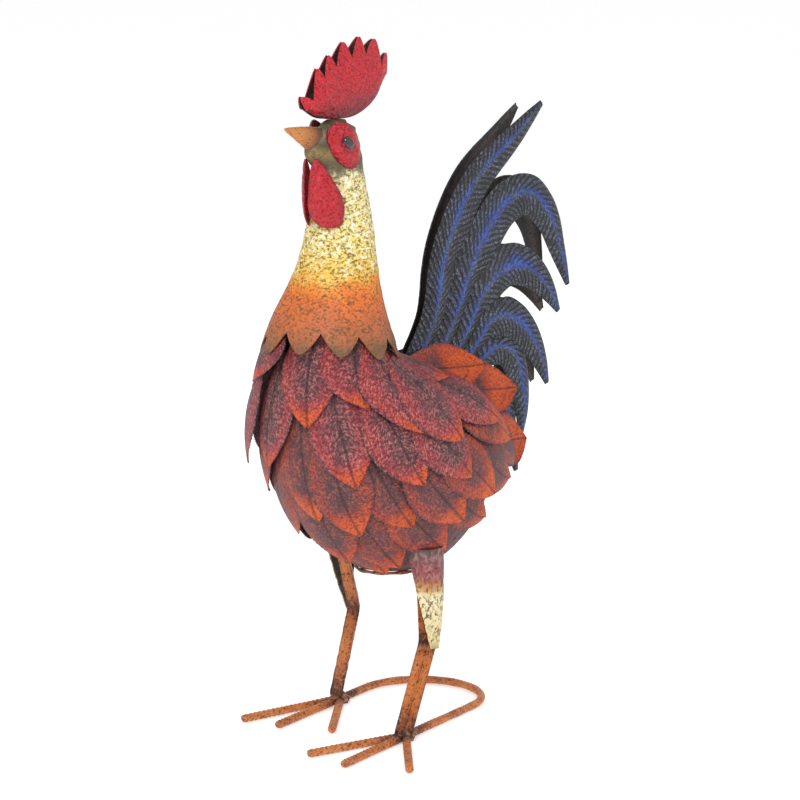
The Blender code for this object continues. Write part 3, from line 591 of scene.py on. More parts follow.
# Rolled neck: terracotta collar, orange, yellow, cream, and grey-green glaze over the head
NECK_ENAMEL = Enamel(
    "neck_enamel", ((0.0, "#7A5236"), (0.05, "#A6603A"), (0.14, "#CC6836"), (0.23, "#E27028"),
                    (0.29, "#EC9030"), (0.34, "#EEBE40"), (0.44, "#E9D06C"), (0.73, "#EADA94"),
                    (0.78, "#8A8262"), (0.82, "#57523C"), (0.86, "#8C7444"),
                    (0.90, "#4A4636"), (0.94, "#76725A"), (1.0, "#45422F")),
    speck="#5E4A24", speck_share=0.80, speck_mm=2.4, drift=0.17, relief_mm=0.8, low_z=0.365, high_z=0.567,
    rub="#FFF6DC", rub_share=0.85, rub_span=(0.30, 0.42, 0.74, 0.80), flatten=1.4)
# Hammered sheet under glossy red enamel, maroon in the hollows
RED_ENAMEL = Enamel(
    "red_enamel", ((0.0, "#541822"), (0.20, "#84091E"), (0.45, "#B4061C"), (1.0, "#D00C24")),
    speck="#640614", speck_share=0.10, speck_mm=2.4, rub="#E0404E", rub_share=0.12, drift=0.5,
    roughness=0.30, relief_mm=1.8, dimple_mm=3.2, coat=0.12)
# Rust-orange enamel on rod and strip, speckled with dark brown
RUST_ENAMEL = Enamel(
    "rust_enamel", ((0.0, "#3A2522"), (0.3, "#84482C"), (0.6, "#C27036"), (1.0, "#DA8A42")),
    speck="#3E241A", speck_share=0.55, speck_mm=1.9, rub="#D89068", rub_share=0.45, drift=0.8,
    roughness=0.52, relief_mm=0.5)
# Dark brown primer on the inner faces of tail, comb and thigh covers
LINING_ENAMEL = Enamel(
    "lining_enamel", ((0.0, "#2A2422"), (0.5, "#433A38"), (1.0, "#584A46")),
    speck="#1E1A19", speck_share=0.5, speck_mm=3.0, drift=0.8, roughness=0.6, relief_mm=0.5)
# Dark mauve primer of the shell behind the feathers
MAUVE_ENAMEL = Enamel(
    "mauve_enamel", ((0.0, "#3A1E22"), (0.5, "#5A2E34"), (1.0, "#763C3A")),
    speck="#1E1012", speck_share=0.5, speck_mm=3.0, drift=0.8, roughness=0.6, relief_mm=0.4)
# Thigh covers: mauve at the top, crimson, then ochre, then cream, all speckled
THIGH_ENAMEL = Enamel(
    "thigh_enamel", ((0.0, "#8E7440"), (0.12, "#DCCB94"), (0.54, "#EBDDB0"), (0.61, "#C8964E"),
                     (0.69, "#A05640"), (0.78, "#943E48"), (0.89, "#74484C"),
                     (0.96, "#584046"), (1.0, "#33242A")),
    speck="#4A3A28", speck_share=0.75, speck_mm=2.2, drift=0.14, relief_mm=0.6, low_z=0.078, high_z=0.180,
    rub="#B8908A", rub_share=0.40, rub_span=(0.55, 0.62, 0.95, 1.0), flatten=0.7)
# Ochre enamel of the beak
OCHRE_ENAMEL = Enamel(
    "ochre_enamel", ((0.0, "#5C3E28"), (0.4, "#A8693A"), (1.0, "#CE8846")),
    speck="#3E2A1A", speck_share=0.40, speck_mm=1.8, drift=0.4, roughness=0.45, relief_mm=0.35)
# Gloss black enamel of the eyes
EYE_ENAMEL = Enamel(
    "eye_enamel", ((0.0, "#0B0B0E"), (1.0, "#181A20")), speck="#050506", speck_share=0.2,
    drift=0.1, roughness=0.14, relief_mm=0.05, coat=1.0)


# Sub-assemblies


@dataclass
class BodyForm:
    """The shell's outer form and the places on it that carry the feathers."""

    pivot: tuple = (0.190, 0.390)
    # Fan angle, nearest and farthest distance from the pivot, half width
    sections: tuple = (
        (0, 0.216, 0.274, 0.030), (10, 0.2135, 0.2950, 0.0450), (20, 0.180, 0.312, 0.067),
        (32, 0.141, 0.322, 0.077), (44, 0.123, 0.317, 0.077), (56, 0.120, 0.304, 0.066),
        (66, 0.128, 0.257, 0.047), (74, 0.142, 0.186, 0.020))
    flare: float = 66.0
    turns: Array = field(default_factory=lambda: np.linspace(-4.4, 4.4, 221))
    angles: Array = field(default_factory=lambda: np.linspace(-6, 150, 313))
    reach: Array = field(default_factory=lambda: np.linspace(-0.03, 0.36, 196))

    def __post_init__(self) -> None:
        """Tabulate distances along the body once."""
        angles, turns = np.meshgrid(self.angles, self.turns)
        line = self.carrier(angles, turns)
        steps = np.linalg.norm(np.diff(line, axis=1), axis=2)
        run = np.concatenate((np.zeros((len(self.turns), 1)), np.cumsum(steps, axis=1)), axis=1)
        zero = np.array([np.interp(0.0, self.angles, row) for row in run])
        self.run = run - zero[:, None]
        self.inverse = np.array([np.interp(self.reach, row, self.angles) for row in self.run])

    def surface(self, angle: Array, around: Array) -> Array:
        """Points of the shell.

        Args:
            angle: Fan angles in degrees, 0 at the neck.
            around: Turns from the breast in radians.

        Returns:
            The points.
        """
        section = curve_through(self.sections, angle)
        middle = (section[..., 0] + section[..., 1]) / 2
        reach = (section[..., 1] - section[..., 0]) / 2
        radius = middle + reach * np.cos(around)
        fan = np.radians(angle)
        return np.stack((self.pivot[0] - radius * np.cos(fan), -section[..., 2] * np.sin(around),
                         self.pivot[1] - radius * np.sin(fan)), axis=-1)

    def carrier(self, angle: Array, around: Array) -> Array:
        """The surface under the feathers: the shell, then its tangent at the rump.

        Args:
            angle: Fan angles in degrees.
            around: Turns from the breast in radians.

        Returns:
            The points.
        """
        held = np.minimum(angle, self.flare)
        ahead = self.surface(held, around)
        behind = self.surface(held - 0.5, around)
        return ahead + (ahead - behind) / 0.5 * (angle - held)[..., None]

    def normal(self, angle: Array, around: Array) -> Array:
        """Outward unit normals of the carrier.

        Args:
            angle: Fan angles in degrees.
            around: Turns from the breast in radians.

        Returns:
            The normals.
        """
        along = self.carrier(angle + 0.01, around) - self.carrier(angle - 0.01, around)
        across = self.carrier(angle, around + 0.01) - self.carrier(angle, around - 0.01)
        normal = np.cross(along, across)
        return normal / np.linalg.norm(normal, axis=-1, keepdims=True)

    def read(self, table: Array, keys: Array, around: Array, key: Array) -> Array:
        """Read a table of turns and keys at any places between its entries.

        Args:
            table: Values, one row for each turn.
            keys: What its columns stand at.
            around: Turns to read at.
            key: Keys to read at.

        Returns:
            The values.
        """
        first = (around - self.turns[0]) / (self.turns[1] - self.turns[0])
        first = np.clip(first, 0, len(self.turns) - 1.001)
        second = np.clip((key - keys[0]) / (keys[1] - keys[0]), 0, len(keys) - 1.001)
        i, j = first.astype(int), second.astype(int)
        a, b = first - i, second - j
        return ((table[i, j] * (1 - b) + table[i, j + 1] * b) * (1 - a)
                + (table[i + 1, j] * (1 - b) + table[i + 1, j + 1] * b) * a)

    def fan(self, distance: Array, around: Array) -> Array:
        """Fan angle at a distance along the body."""
        return self.read(self.inverse, self.reach, around, distance)

    def distance(self, angle: Array, around: Array) -> Array:
        """Distance along the body at a fan angle."""
        return self.read(self.run, self.angles, around, angle)

    def rate(self, angle: Array, around: Array) -> Array:
        """Width of a turn on the body.

        Args:
            angle: Fan angles in degrees.
            around: Turns from the breast in radians.

        Returns:
            Metres across the body for each radian around it.
        """
        step = self.carrier(angle, around + 0.02) - self.carrier(angle, around - 0.02)
        return np.linalg.norm(step, axis=-1) / 0.04


@dataclass
class Plumage:
    """Stamped leaf feathers, in rows that overlap like roof tiles."""

    body: BodyForm
    length: float = 0.101
    width: float = 0.050
    sheet: float = 0.0008
    base_lift: float = 0.0021
    rise: float = 0.10
    clearance: float = 0.0022
    stack_reach: float = 40.0
    camber: float = 0.0024
    tooth: float = 0.0032
    first_root: float = -0.006
    # Row: name, lean of the roots, base height, joined or single, where the orange starts,
    # and the angle and tip distance of each feather
    rows: tuple = (
        ("feather_a", 14, 0.0028, False, 0.71, (
            (-146, 0.120), (-120, 0.140), (-93, 0.134), (-68, 0.090), (-38, 0.064),
            (22, 0.094), (66, 0.083), (88, 0.119), (100, 0.148), (140, 0.118))),
        ("feather_b", 8, 0.0028, False, 0.72, (
            (-132, 0.179), (-104, 0.186), (-76, 0.165), (-46, 0.142), (-16, 0.134),
            (41, 0.148), (71, 0.163), (91, 0.185), (126, 0.179))),
        ("band_c", 4, 0.0022, True, 0.66, (
            (-158, 0.160), (158, 0.160), (-128, 0.205), (-102, 0.226), (-78, 0.223), (-57, 0.196),
            (-36, 0.168), (12, 0.180), (31, 0.196), (54, 0.206), (73, 0.225), (93, 0.224), (124, 0.205))),
        ("band_d", 2, 0.0, True, 0.74, (
            (24, 0.262), (-152, 0.245), (152, 0.245), (-160, 0.205), (160, 0.205), (-128, 0.262),
            (128, 0.262), (-104, 0.250), (-82, 0.268), (-60, 0.268), (-40, 0.245), (-20, 0.211),
            (14, 0.231), (33, 0.257), (56, 0.255), (80, 0.262), (104, 0.245))),
    )
    # Rear feathers: root X and Z, tip X and Z, distance from the middle plane, slant
    rear: tuple = (
        ("1", 0.030, 0.336, 0.126, 0.328, 0.018, 0.030, 38),
        ("2", 0.088, 0.310, 0.166, 0.301, 0.036, 0.034, 27),
        ("3", 0.092, 0.266, 0.162, 0.254, 0.068, 0.050, 18),
    )

    def blank(self) -> tuple[bpy.types.Object, Array, Array, Array]:
        """Press the flat leaf with its saw-toothed edge.

        Returns:
            The leaf, its places across and along, and its half-width shares.
        """
        item, across, along = sheet_grid("leaf_blank", 14, 96)
        outline = ((0.0, 0.34), (0.20, 0.66), (0.38, 0.92), (0.52, 1.0), (0.63, 0.94), (0.74, 0.78),
                   (0.84, 0.56), (0.92, 0.31), (1.0, 0.015))
        half = curve_through(outline, along)[:, 0]
        teeth = 1 - (along * self.length / self.tooth) % 1.0
        edge = np.clip((np.abs(across) - 0.8) / 0.2, 0, 1)
        half = half * (1 + 0.08 * (teeth - 0.5) * edge * (along > 0.2))
        return item, across, along, half

    def stack(self, placed: list[tuple[float, float, float]]) -> list[float]:
        """Height of each feather, so that none touches one that it overlaps.

        Args:
            placed: Angle of the tip, distance of the root and base height, lowest row first.

        Returns:
            A height for each.
        """
        heights: list[float] = []
        for around, root, base in placed:
            height = base
            while True:
                clear = True
                for (other, other_root, _), other_height in zip(placed, heights):
                    turn = abs((other - around + 180) % 360 - 180)
                    if turn >= self.stack_reach:
                        continue
                    above = height - other_height - self.rise * (root - other_root)
                    above = above if root < other_root - 0.012 else abs(above)
                    clear = clear and above > self.clearance
                if clear:
                    break
                height += 0.0004
            heights.append(height)
        LOG.info("feather heights up to %.1f mm", 1000 * max(heights))
        return heights

    def marks(self, across: Array, along: Array, half: Array, flame: float,
              random: np.random.Generator) -> dict:
        """Values that the enamel reads, for one feather.

        Args:
            across: Place across the leaf.
            along: Place along the leaf.
            half: Share of the half width.
            flame: Place along the leaf where the orange tip begins.
            random: Source of the small differences between feathers.

        Returns:
            The attributes grade, vein and rib.
        """
        tip = np.clip((along - flame) / 0.24, 0, 1)
        tip = tip * tip * (3 - 2 * tip)
        grade = 0.05 + 0.50 * np.abs(across) ** 1.4 * (1 - tip) + 0.86 * tip
        # Darker along both margins: painted shade, the dark line where each feather's edge lies over the one
        # below it
        grade = grade - 0.55 * np.clip((np.abs(across) - 0.90) / 0.10, 0, 1) * (along < 0.985)
        reach = np.abs(across) * half
        slant = along * self.length - reach * self.width / 2 * 1.3
        return {"grade": grade + random.uniform(-0.07, 0.09), "vein": 1000 * slant + random.uniform(0, 900),
                "rib": reach}

    def build(self) -> None:
        """Model, bend and dress every feather."""
        blank, across, along, half = self.blank()
        random = np.random.default_rng(7)
        placed = []
        for name, lean, base, joined, flame, tips in reversed(self.rows):
            for index, (around, tip) in enumerate(tips):
                root = max(tip - self.length, self.first_root)
                placed.append((name, index, lean, joined, around, tip, root, base, flame))
        heights = self.stack([(row[4], row[6], row[7]) for row in placed])
        rows: dict[str, list] = {}
        for (name, index, lean, joined, around, tip, root, base, flame), height in zip(placed, heights):
            item = self.copy(blank, f"{name}_{index + 1:02d}_leaf")
            points = self.wrap(across, along, half, math.radians(around), tip, root, math.radians(lean),
                               height, random)
            bend(item, points, self.marks(across, along, half, flame, random))
            self.thicken(item)
            rows.setdefault(name, []).append(item)
            if not joined:
                finish(item, FEATHER_ENAMEL.make(), "feather", f"{name}_{index + 1:02d}")
        for name, items in rows.items():
            if name.startswith("band"):
                finish(join(items, f"{name}_leaves"), FLAME_ENAMEL.make(), "flame", name)
        self.build_rear(blank, across, along, half, random)
        bpy.data.objects.remove(blank)

    def copy(self, blank: bpy.types.Object, name: str) -> bpy.types.Object:
        """Copy the blank with a mesh of its own.

        Args:
            blank: The flat leaf.
            name: Name of the copy.

        Returns:
            The copy.
        """
        item = blank.copy()
        item.data = blank.data.copy()
        item.name = item.data.name = name
        bpy.context.collection.objects.link(item)
        return item

    def thicken(self, item: bpy.types.Object) -> None:
        """Give a leaf its sheet thickness."""
        wall(item, self.sheet)
        close_up(item, WALL_REACH)

    def wrap(self, across: Array, along: Array, half: Array, around: float, tip: float, root: float,
             lean: float, height: float, random: np.random.Generator) -> Array:
        """Places of one feather's vertices on the body.

        Args:
            across: Place across the leaf, -1 to 1.
            along: Place along the leaf, 0 at the root.
            half: Share of the half width.
            around: Turn of the tip from the breast, in radians.
            tip: Distance of the tip along the body.
            root: Distance of the root.
            lean: Turn of the root towards the back.
            height: Height above the carrier at the root.
            random: Source of the small differences between feathers.

        Returns:
            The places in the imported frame.
        """
        body = self.body
        middle = around + math.copysign(1, around) * lean * math.sin(abs(around)) * (1 - along)
        angle = body.fan(root + along * (tip - root), middle)
        turn = across * half * self.width / 2 / body.rate(angle, middle)
        distance = body.distance(angle, middle + turn)
        curl, twist, tilt = random.uniform(-0.4, 1.4), random.uniform(-1, 1), random.uniform(-0.6, 1.8)
        late = np.clip((along - 0.55) / 0.45, 0, 1)
        lift = self.base_lift + height + self.rise * np.maximum(distance - root, 0)
        arch = (1 - across ** 2) * np.sin(np.clip(along, 0, 1) * math.pi) ** 0.7
        lift = lift + self.camber * arch - 0.0006 * np.exp(-(across / 0.07) ** 2) * np.sin(along * math.pi)
        lift = lift + 0.001 * (curl * across ** 2 * late + twist * across * late + tilt * late ** 2)
        points = body.carrier(angle, middle + turn) + lift[:, None] * body.normal(angle, middle + turn)
        return points + SHIFT

    def build_rear(self, blank: bpy.types.Object, across: Array, along: Array, half: Array,
                   random: np.random.Generator) -> None:
        """The feathers that stand off the back on both sides of the tail's root.

        Args:
            blank: The flat leaf.
            across: Place across the leaf.
            along: Place along the leaf.
            half: Share of the half width.
            random: Source of the small differences between feathers.
        """
        for number, root_x, root_z, tip_x, tip_z, root_y, tip_y, slant in self.rear:
            for side in Side:
                way = side.value
                root = np.array((root_x, way * root_y, root_z))
                tip = np.array((tip_x, way * tip_y, tip_z))
                ahead = (tip - root) / np.linalg.norm(tip - root)
                tilt = math.radians(slant)
                wide = np.array((0.0, -way * math.sin(tilt), math.cos(tilt)))
                wide = wide - ahead * np.dot(wide, ahead)
                wide = wide / np.linalg.norm(wide)
                out = np.cross(ahead, wide) * way
                item = self.copy(blank, f"rump_leaf_{side.word}_{number}")
                bow = 0.0035 * (1 - across ** 2) * half + 0.001 * np.sin(np.abs(across) * math.pi)
                bow = bow + 0.002 * np.sin(along * math.pi)
                points = (root + (tip - root) * along[:, None] + out * bow[:, None]
                          + wide * (across * half * self.width / 2)[:, None])
                bend(item, points + SHIFT, self.marks(across, along, half, 0.38, random))
                self.thicken(item)
                finish(item, FLAME_ENAMEL.make(), "flame", f"rump_feather_{side.word}_{number}")


@dataclass
class Shell:
    """Hollow body of thin sheet with the mouth and its rim under the belly."""

    body: BodyForm
    sheet: float = 0.001
    mouth_rise: float = 0.010
    rim_thick: float = 0.0040
    rim_rod: float = 0.0034
    rim_uneven: float = 0.0003
    rim_rise: float = 0.0016
    pole_share: float = 0.06

    def build(self) -> None:
        """Model the shell and the rim."""
        item, across, along = sheet_grid("shell", 72, 64)
        angle = np.clip((along - self.pole_share) / (1 - 2 * self.pole_share), 0, 1)
        angle = angle * self.body.sections[-1][0]
        around = across * math.pi
        ring = self.body.surface(angle, around)
        section = curve_through(self.body.sections, angle)
        middle = (section[:, 0] + section[:, 1]) / 2
        fan = np.radians(angle)
        centre = np.stack((self.body.pivot[0] - middle * np.cos(fan), 0 * middle,
                           self.body.pivot[1] - middle * np.sin(fan)), axis=-1)
        share = np.clip(np.minimum(along, 1 - along) / self.pole_share, 0, 1)[:, None]
        bend(item, centre + (ring - centre) * share + SHIFT, {"grade": 0.5 + 0 * along})
        close_up(item, SEAM_REACH)
        wall(item, self.sheet, -1.0)
        lowest = self.body.surface(np.linspace(0, 74, 400), np.zeros(400))
        level = lowest[:, 2].min() + self.mouth_rise
        with whole_mesh(item):
            bpy.ops.mesh.bisect(plane_co=(0, 0, level), plane_no=(0, 0, 1), clear_inner=True, use_fill=False)
        finish(item, MAUVE_ENAMEL.make(), "mauve", "body_shell")
        low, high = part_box("belly_ring")
        centre = (np.array(low) + np.array(high)) / 2 - SHIFT
        half = (np.array(high) - np.array(low)) / 2 - self.rim_thick / 2
        turns = np.linspace(0, 2 * math.pi, 97)
        path = np.stack((centre[0] + half[0] * np.cos(turns), centre[1] + half[1] * np.sin(turns),
                         centre[2] + self.rim_rise + 0 * turns), axis=-1)
        rim = tube("belly_rim", path,
                   lambda turn, at: self.rim_rod / 2 + self.rim_uneven * np.sin(at * 300) + 0 * turn,
                   12, 160, True)
        bend(rim, vertices(rim), {"grade": 0.28})
        finish(rim, RUST_ENAMEL.make(), "rust", "belly_ring")


@dataclass
class Neck:
    """Rolled cone with a toothed collar, closed by the head."""

    # Height, centre in X, half length, half width
    sections: tuple = (
        (0.350, -0.0575, 0.0650, 0.0650), (0.365, -0.0570, 0.0612, 0.0612), (0.392, -0.0560, 0.0520, 0.0520),
        (0.421, -0.0495, 0.0415, 0.0415), (0.443, -0.0450, 0.0355, 0.0355), (0.473, -0.0425, 0.0305, 0.0305),
        (0.499, -0.0420, 0.0258, 0.0258), (0.520, -0.0425, 0.0225, 0.0215), (0.535, -0.0450, 0.0240, 0.0198),
        (0.550, -0.0478, 0.0235, 0.0180), (0.560, -0.0480, 0.0205, 0.0145), (0.567, -0.0480, 0.0110, 0.0070))
    teeth: int = 10
    depth: float = 0.022
    collar_rise: float = 0.015
    sheet: float = 0.0010
    seam: float = -26.0
    crown: float = 0.965
    cheek_top: float = 0.552
    head_foot: float = 0.536
    brow: float = 0.0150
    brow_at: tuple = (0.540, 0.017)
    patch_centre: tuple = (-0.0065, 0.5465)
    patch_size: tuple = (0.0152, 0.0212)
    patch_tilt: float = 14.0
    patch_off: float = 0.0014
    patch_dome: float = 0.0035
    eye_centre: tuple = (-0.0052, 0.5485)
    eye_size: tuple = (0.0038, 0.0056)
    eye_dome: float = 0.0028
    leaf_sheet: float = 0.0010
    eye_sheet: float = 0.0006
    bill_tip: tuple = (-0.113, 0.0, 0.5645)
    bill_root: tuple = (-0.066, 0.0, 0.5480)
    bill_half: tuple = (0.0130, 0.0088)
    bill_outline: tuple = ((0.0, 0.02), (0.06, 0.13), (0.25, 0.36), (0.6, 0.74), (1.0, 1.06))

    def ring(self, height: Array) -> tuple[Array, Array, Array]:
        """Centre in X, half length and half width at each height."""
        row = curve_through(self.sections, height)
        return row[:, 0], row[:, 1], row[:, 2]

    def build(self) -> None:
        """Model the neck and head."""
        item, across, along = sheet_grid("neck", 200, 150)
        turn = across * math.pi
        tooth = np.abs((turn / (2 * math.pi) * self.teeth) % 1.0 * 2 - 1)
        tooth = np.sqrt(tooth ** 2 + 0.012) - 0.11
        rise = self.collar_rise * ((1 + np.cos(turn - math.radians(20))) / 2) ** 1.5
        bottom = self.sections[0][0] + rise + self.depth * np.clip(tooth, 0, 1) ** 1.3
        top = self.sections[-1][0]
        share = np.clip(along / self.crown, 0, 1)
        height = bottom + (top - bottom) * share
        centre, long, wide = self.ring(height)
        close = np.clip((along - self.crown) / (1 - self.crown), 0, 1)
        shrink = np.sqrt(np.clip(1 - close ** 2, 0, 1))
        seam = (turn - math.radians(self.seam) + math.pi) % (2 * math.pi) - math.pi
        step = 0.0011 * np.exp(-np.clip(seam, 0, 9) * 14) * (seam >= 0) * (1 - share)
        rough = 0.00035 + 0.0011 * np.clip((height - self.head_foot) / 0.02, 0, 1)
        spots = np.stack((centre - long * np.cos(turn), -wide * np.sin(turn), height), axis=-1)
        brow = np.exp(-((height - self.brow_at[0]) / self.brow_at[1]) ** 2)
        brow = self.brow * np.clip(np.cos(turn), 0, 1) ** 10 * brow
        swell = rough * lumps(spots, 0.011, 5) - rough * 0.6 + step + brow
        points = np.stack((centre - (long + swell) * shrink * np.cos(turn),
                           -(wide + swell) * shrink * np.sin(turn),
                           height + 0.0008 * np.sin(close * math.pi / 2)), axis=-1)
        bend(item, points + SHIFT, {"grade": share})
        close_up(item, SEAM_REACH)
        wall(item, self.sheet, -1.0)
        finish(item, NECK_ENAMEL.make(), "cream", "neck_and_head")
        self.build_face()
        self.build_beak()

    def on_head(self, along: Array, height: Array, outward: Array, way: int) -> Array:
        """Places over the head's side.

        Args:
            along: Metres back from the middle of the side.
            height: Height in metres.
            outward: Distance off the head.
            way: Sign of the side.

        Returns:
            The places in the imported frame.
        """
        centre, long, wide = self.ring(np.minimum(height, self.cheek_top))
        turn = math.pi / 2 + along / np.hypot(long, wide) * math.sqrt(2)
        normal = np.stack((-np.cos(turn) / long, -np.sin(turn) / wide), axis=-1)
        normal /= np.linalg.norm(normal, axis=1, keepdims=True)
        x = centre - long * np.cos(turn) + normal[:, 0] * outward
        y = -wide * np.sin(turn) + normal[:, 1] * outward
        return np.stack((x, -way * y, height), axis=-1) + SHIFT

    def oval(self, name: str, centre: tuple, size: tuple, lift: Share, way: int, grade: Share,
             rows: int = 20) -> bpy.types.Object:
        """An oval dome that follows the head's side.

        Args:
            name: Name of the object.
            centre: Metres back and height of its middle.
            size: Half width and half height.
            lift: Distance off the head from the share of the size.
            way: Sign of the side.
            grade: Paint mark from the share of the size.
            rows: Rings from the middle to the edge.

        Returns:
            The dome, still a sheet.
        """
        item, across, along = sheet_grid(name, 64, rows)
        turn, tilt = across * math.pi, math.radians(self.patch_tilt)
        short = size[0] * along * np.cos(turn)
        tall = size[1] * along * np.sin(turn) * (1 - 0.10 * np.cos(turn))
        back = centre[0] + short * math.cos(tilt) - tall * math.sin(tilt)
        height = centre[1] + short * math.sin(tilt) + tall * math.cos(tilt)
        points = self.on_head(back, height, lift(along), way)
        dents = (lumps(points, 0.0075, 3) * (along > 0.03))[:, None]
        points = points + 0.00028 * dents * np.array((0, way, 0))
        bend(item, points, {"grade": grade(along)})
        close_up(item)
        return item

    def build_face(self) -> None:
        """Model the eye patches and eyes."""
        for side in Side:
            patch = self.oval(f"patch_{side.word}", self.patch_centre, self.patch_size,
                              lambda share: self.patch_off + self.patch_dome * (1 - share ** 2.4)
                              - 0.0009 * np.clip((share - 0.9) / 0.1, 0, 1), side.value,
                              lambda share: 0.62 - 0.5 * share ** 6
                              - 0.35 * np.exp(-((share - 0.3) / 0.1) ** 2))
            wall(patch, self.leaf_sheet)
            close_up(patch, WALL_REACH)
            finish(patch, RED_ENAMEL.make(), "red", f"eye_patch_{side.word}")
            floor = self.patch_off + self.patch_dome + self.leaf_sheet / 2
            eye = self.oval(f"eye_dome_{side.word}", self.eye_centre, self.eye_size,
                            lambda share: floor + self.eye_dome * np.sqrt(np.clip(1 - share ** 2, 0, 1)),
                            side.value, lambda share: 0.5 + 0 * share, 14)
            wall(eye, self.eye_sheet)
            close_up(eye, WALL_REACH)
            finish(eye, EYE_ENAMEL.make(), "black", f"eye_{side.word}")

    def build_beak(self) -> None:
        """Model the beak, a cone that dips slightly at its tip."""
        item, across, along = sheet_grid("bill", 48, 48)
        tip, root = np.array(self.bill_tip), np.array(self.bill_root)
        axis = (root - tip) / np.linalg.norm(root - tip)
        up = np.array((-axis[2], 0.0, axis[0]))
        size = curve_through(self.bill_outline, along)[:, 0] * (along > 0.004)
        turn = across * math.pi
        groove = 1 - 0.07 * np.exp(-((np.abs(np.sin(turn)) - 1) / 0.06) ** 2) * np.clip(along * 2, 0, 1)
        centre = tip + (root - tip) * along[:, None] - up * (0.0012 * (1 - along) ** 3)[:, None]
        tall, wide = self.bill_half
        points = (centre + up * (np.cos(turn) * tall * size * groove)[:, None]
                  + np.array((0, 1.0, 0)) * (np.sin(turn) * wide * size * groove)[:, None])
        points = points + 0.0002 * lumps(points, 0.008, 9)[:, None] * size[:, None] * up
        bend(item, points + SHIFT, {"grade": 0.85 - 0.80 * np.clip((along - 0.35) / 0.4, 0, 1)})
        close_up(item)
        finish(item, OCHRE_ENAMEL.make(), "ochre", "beak")


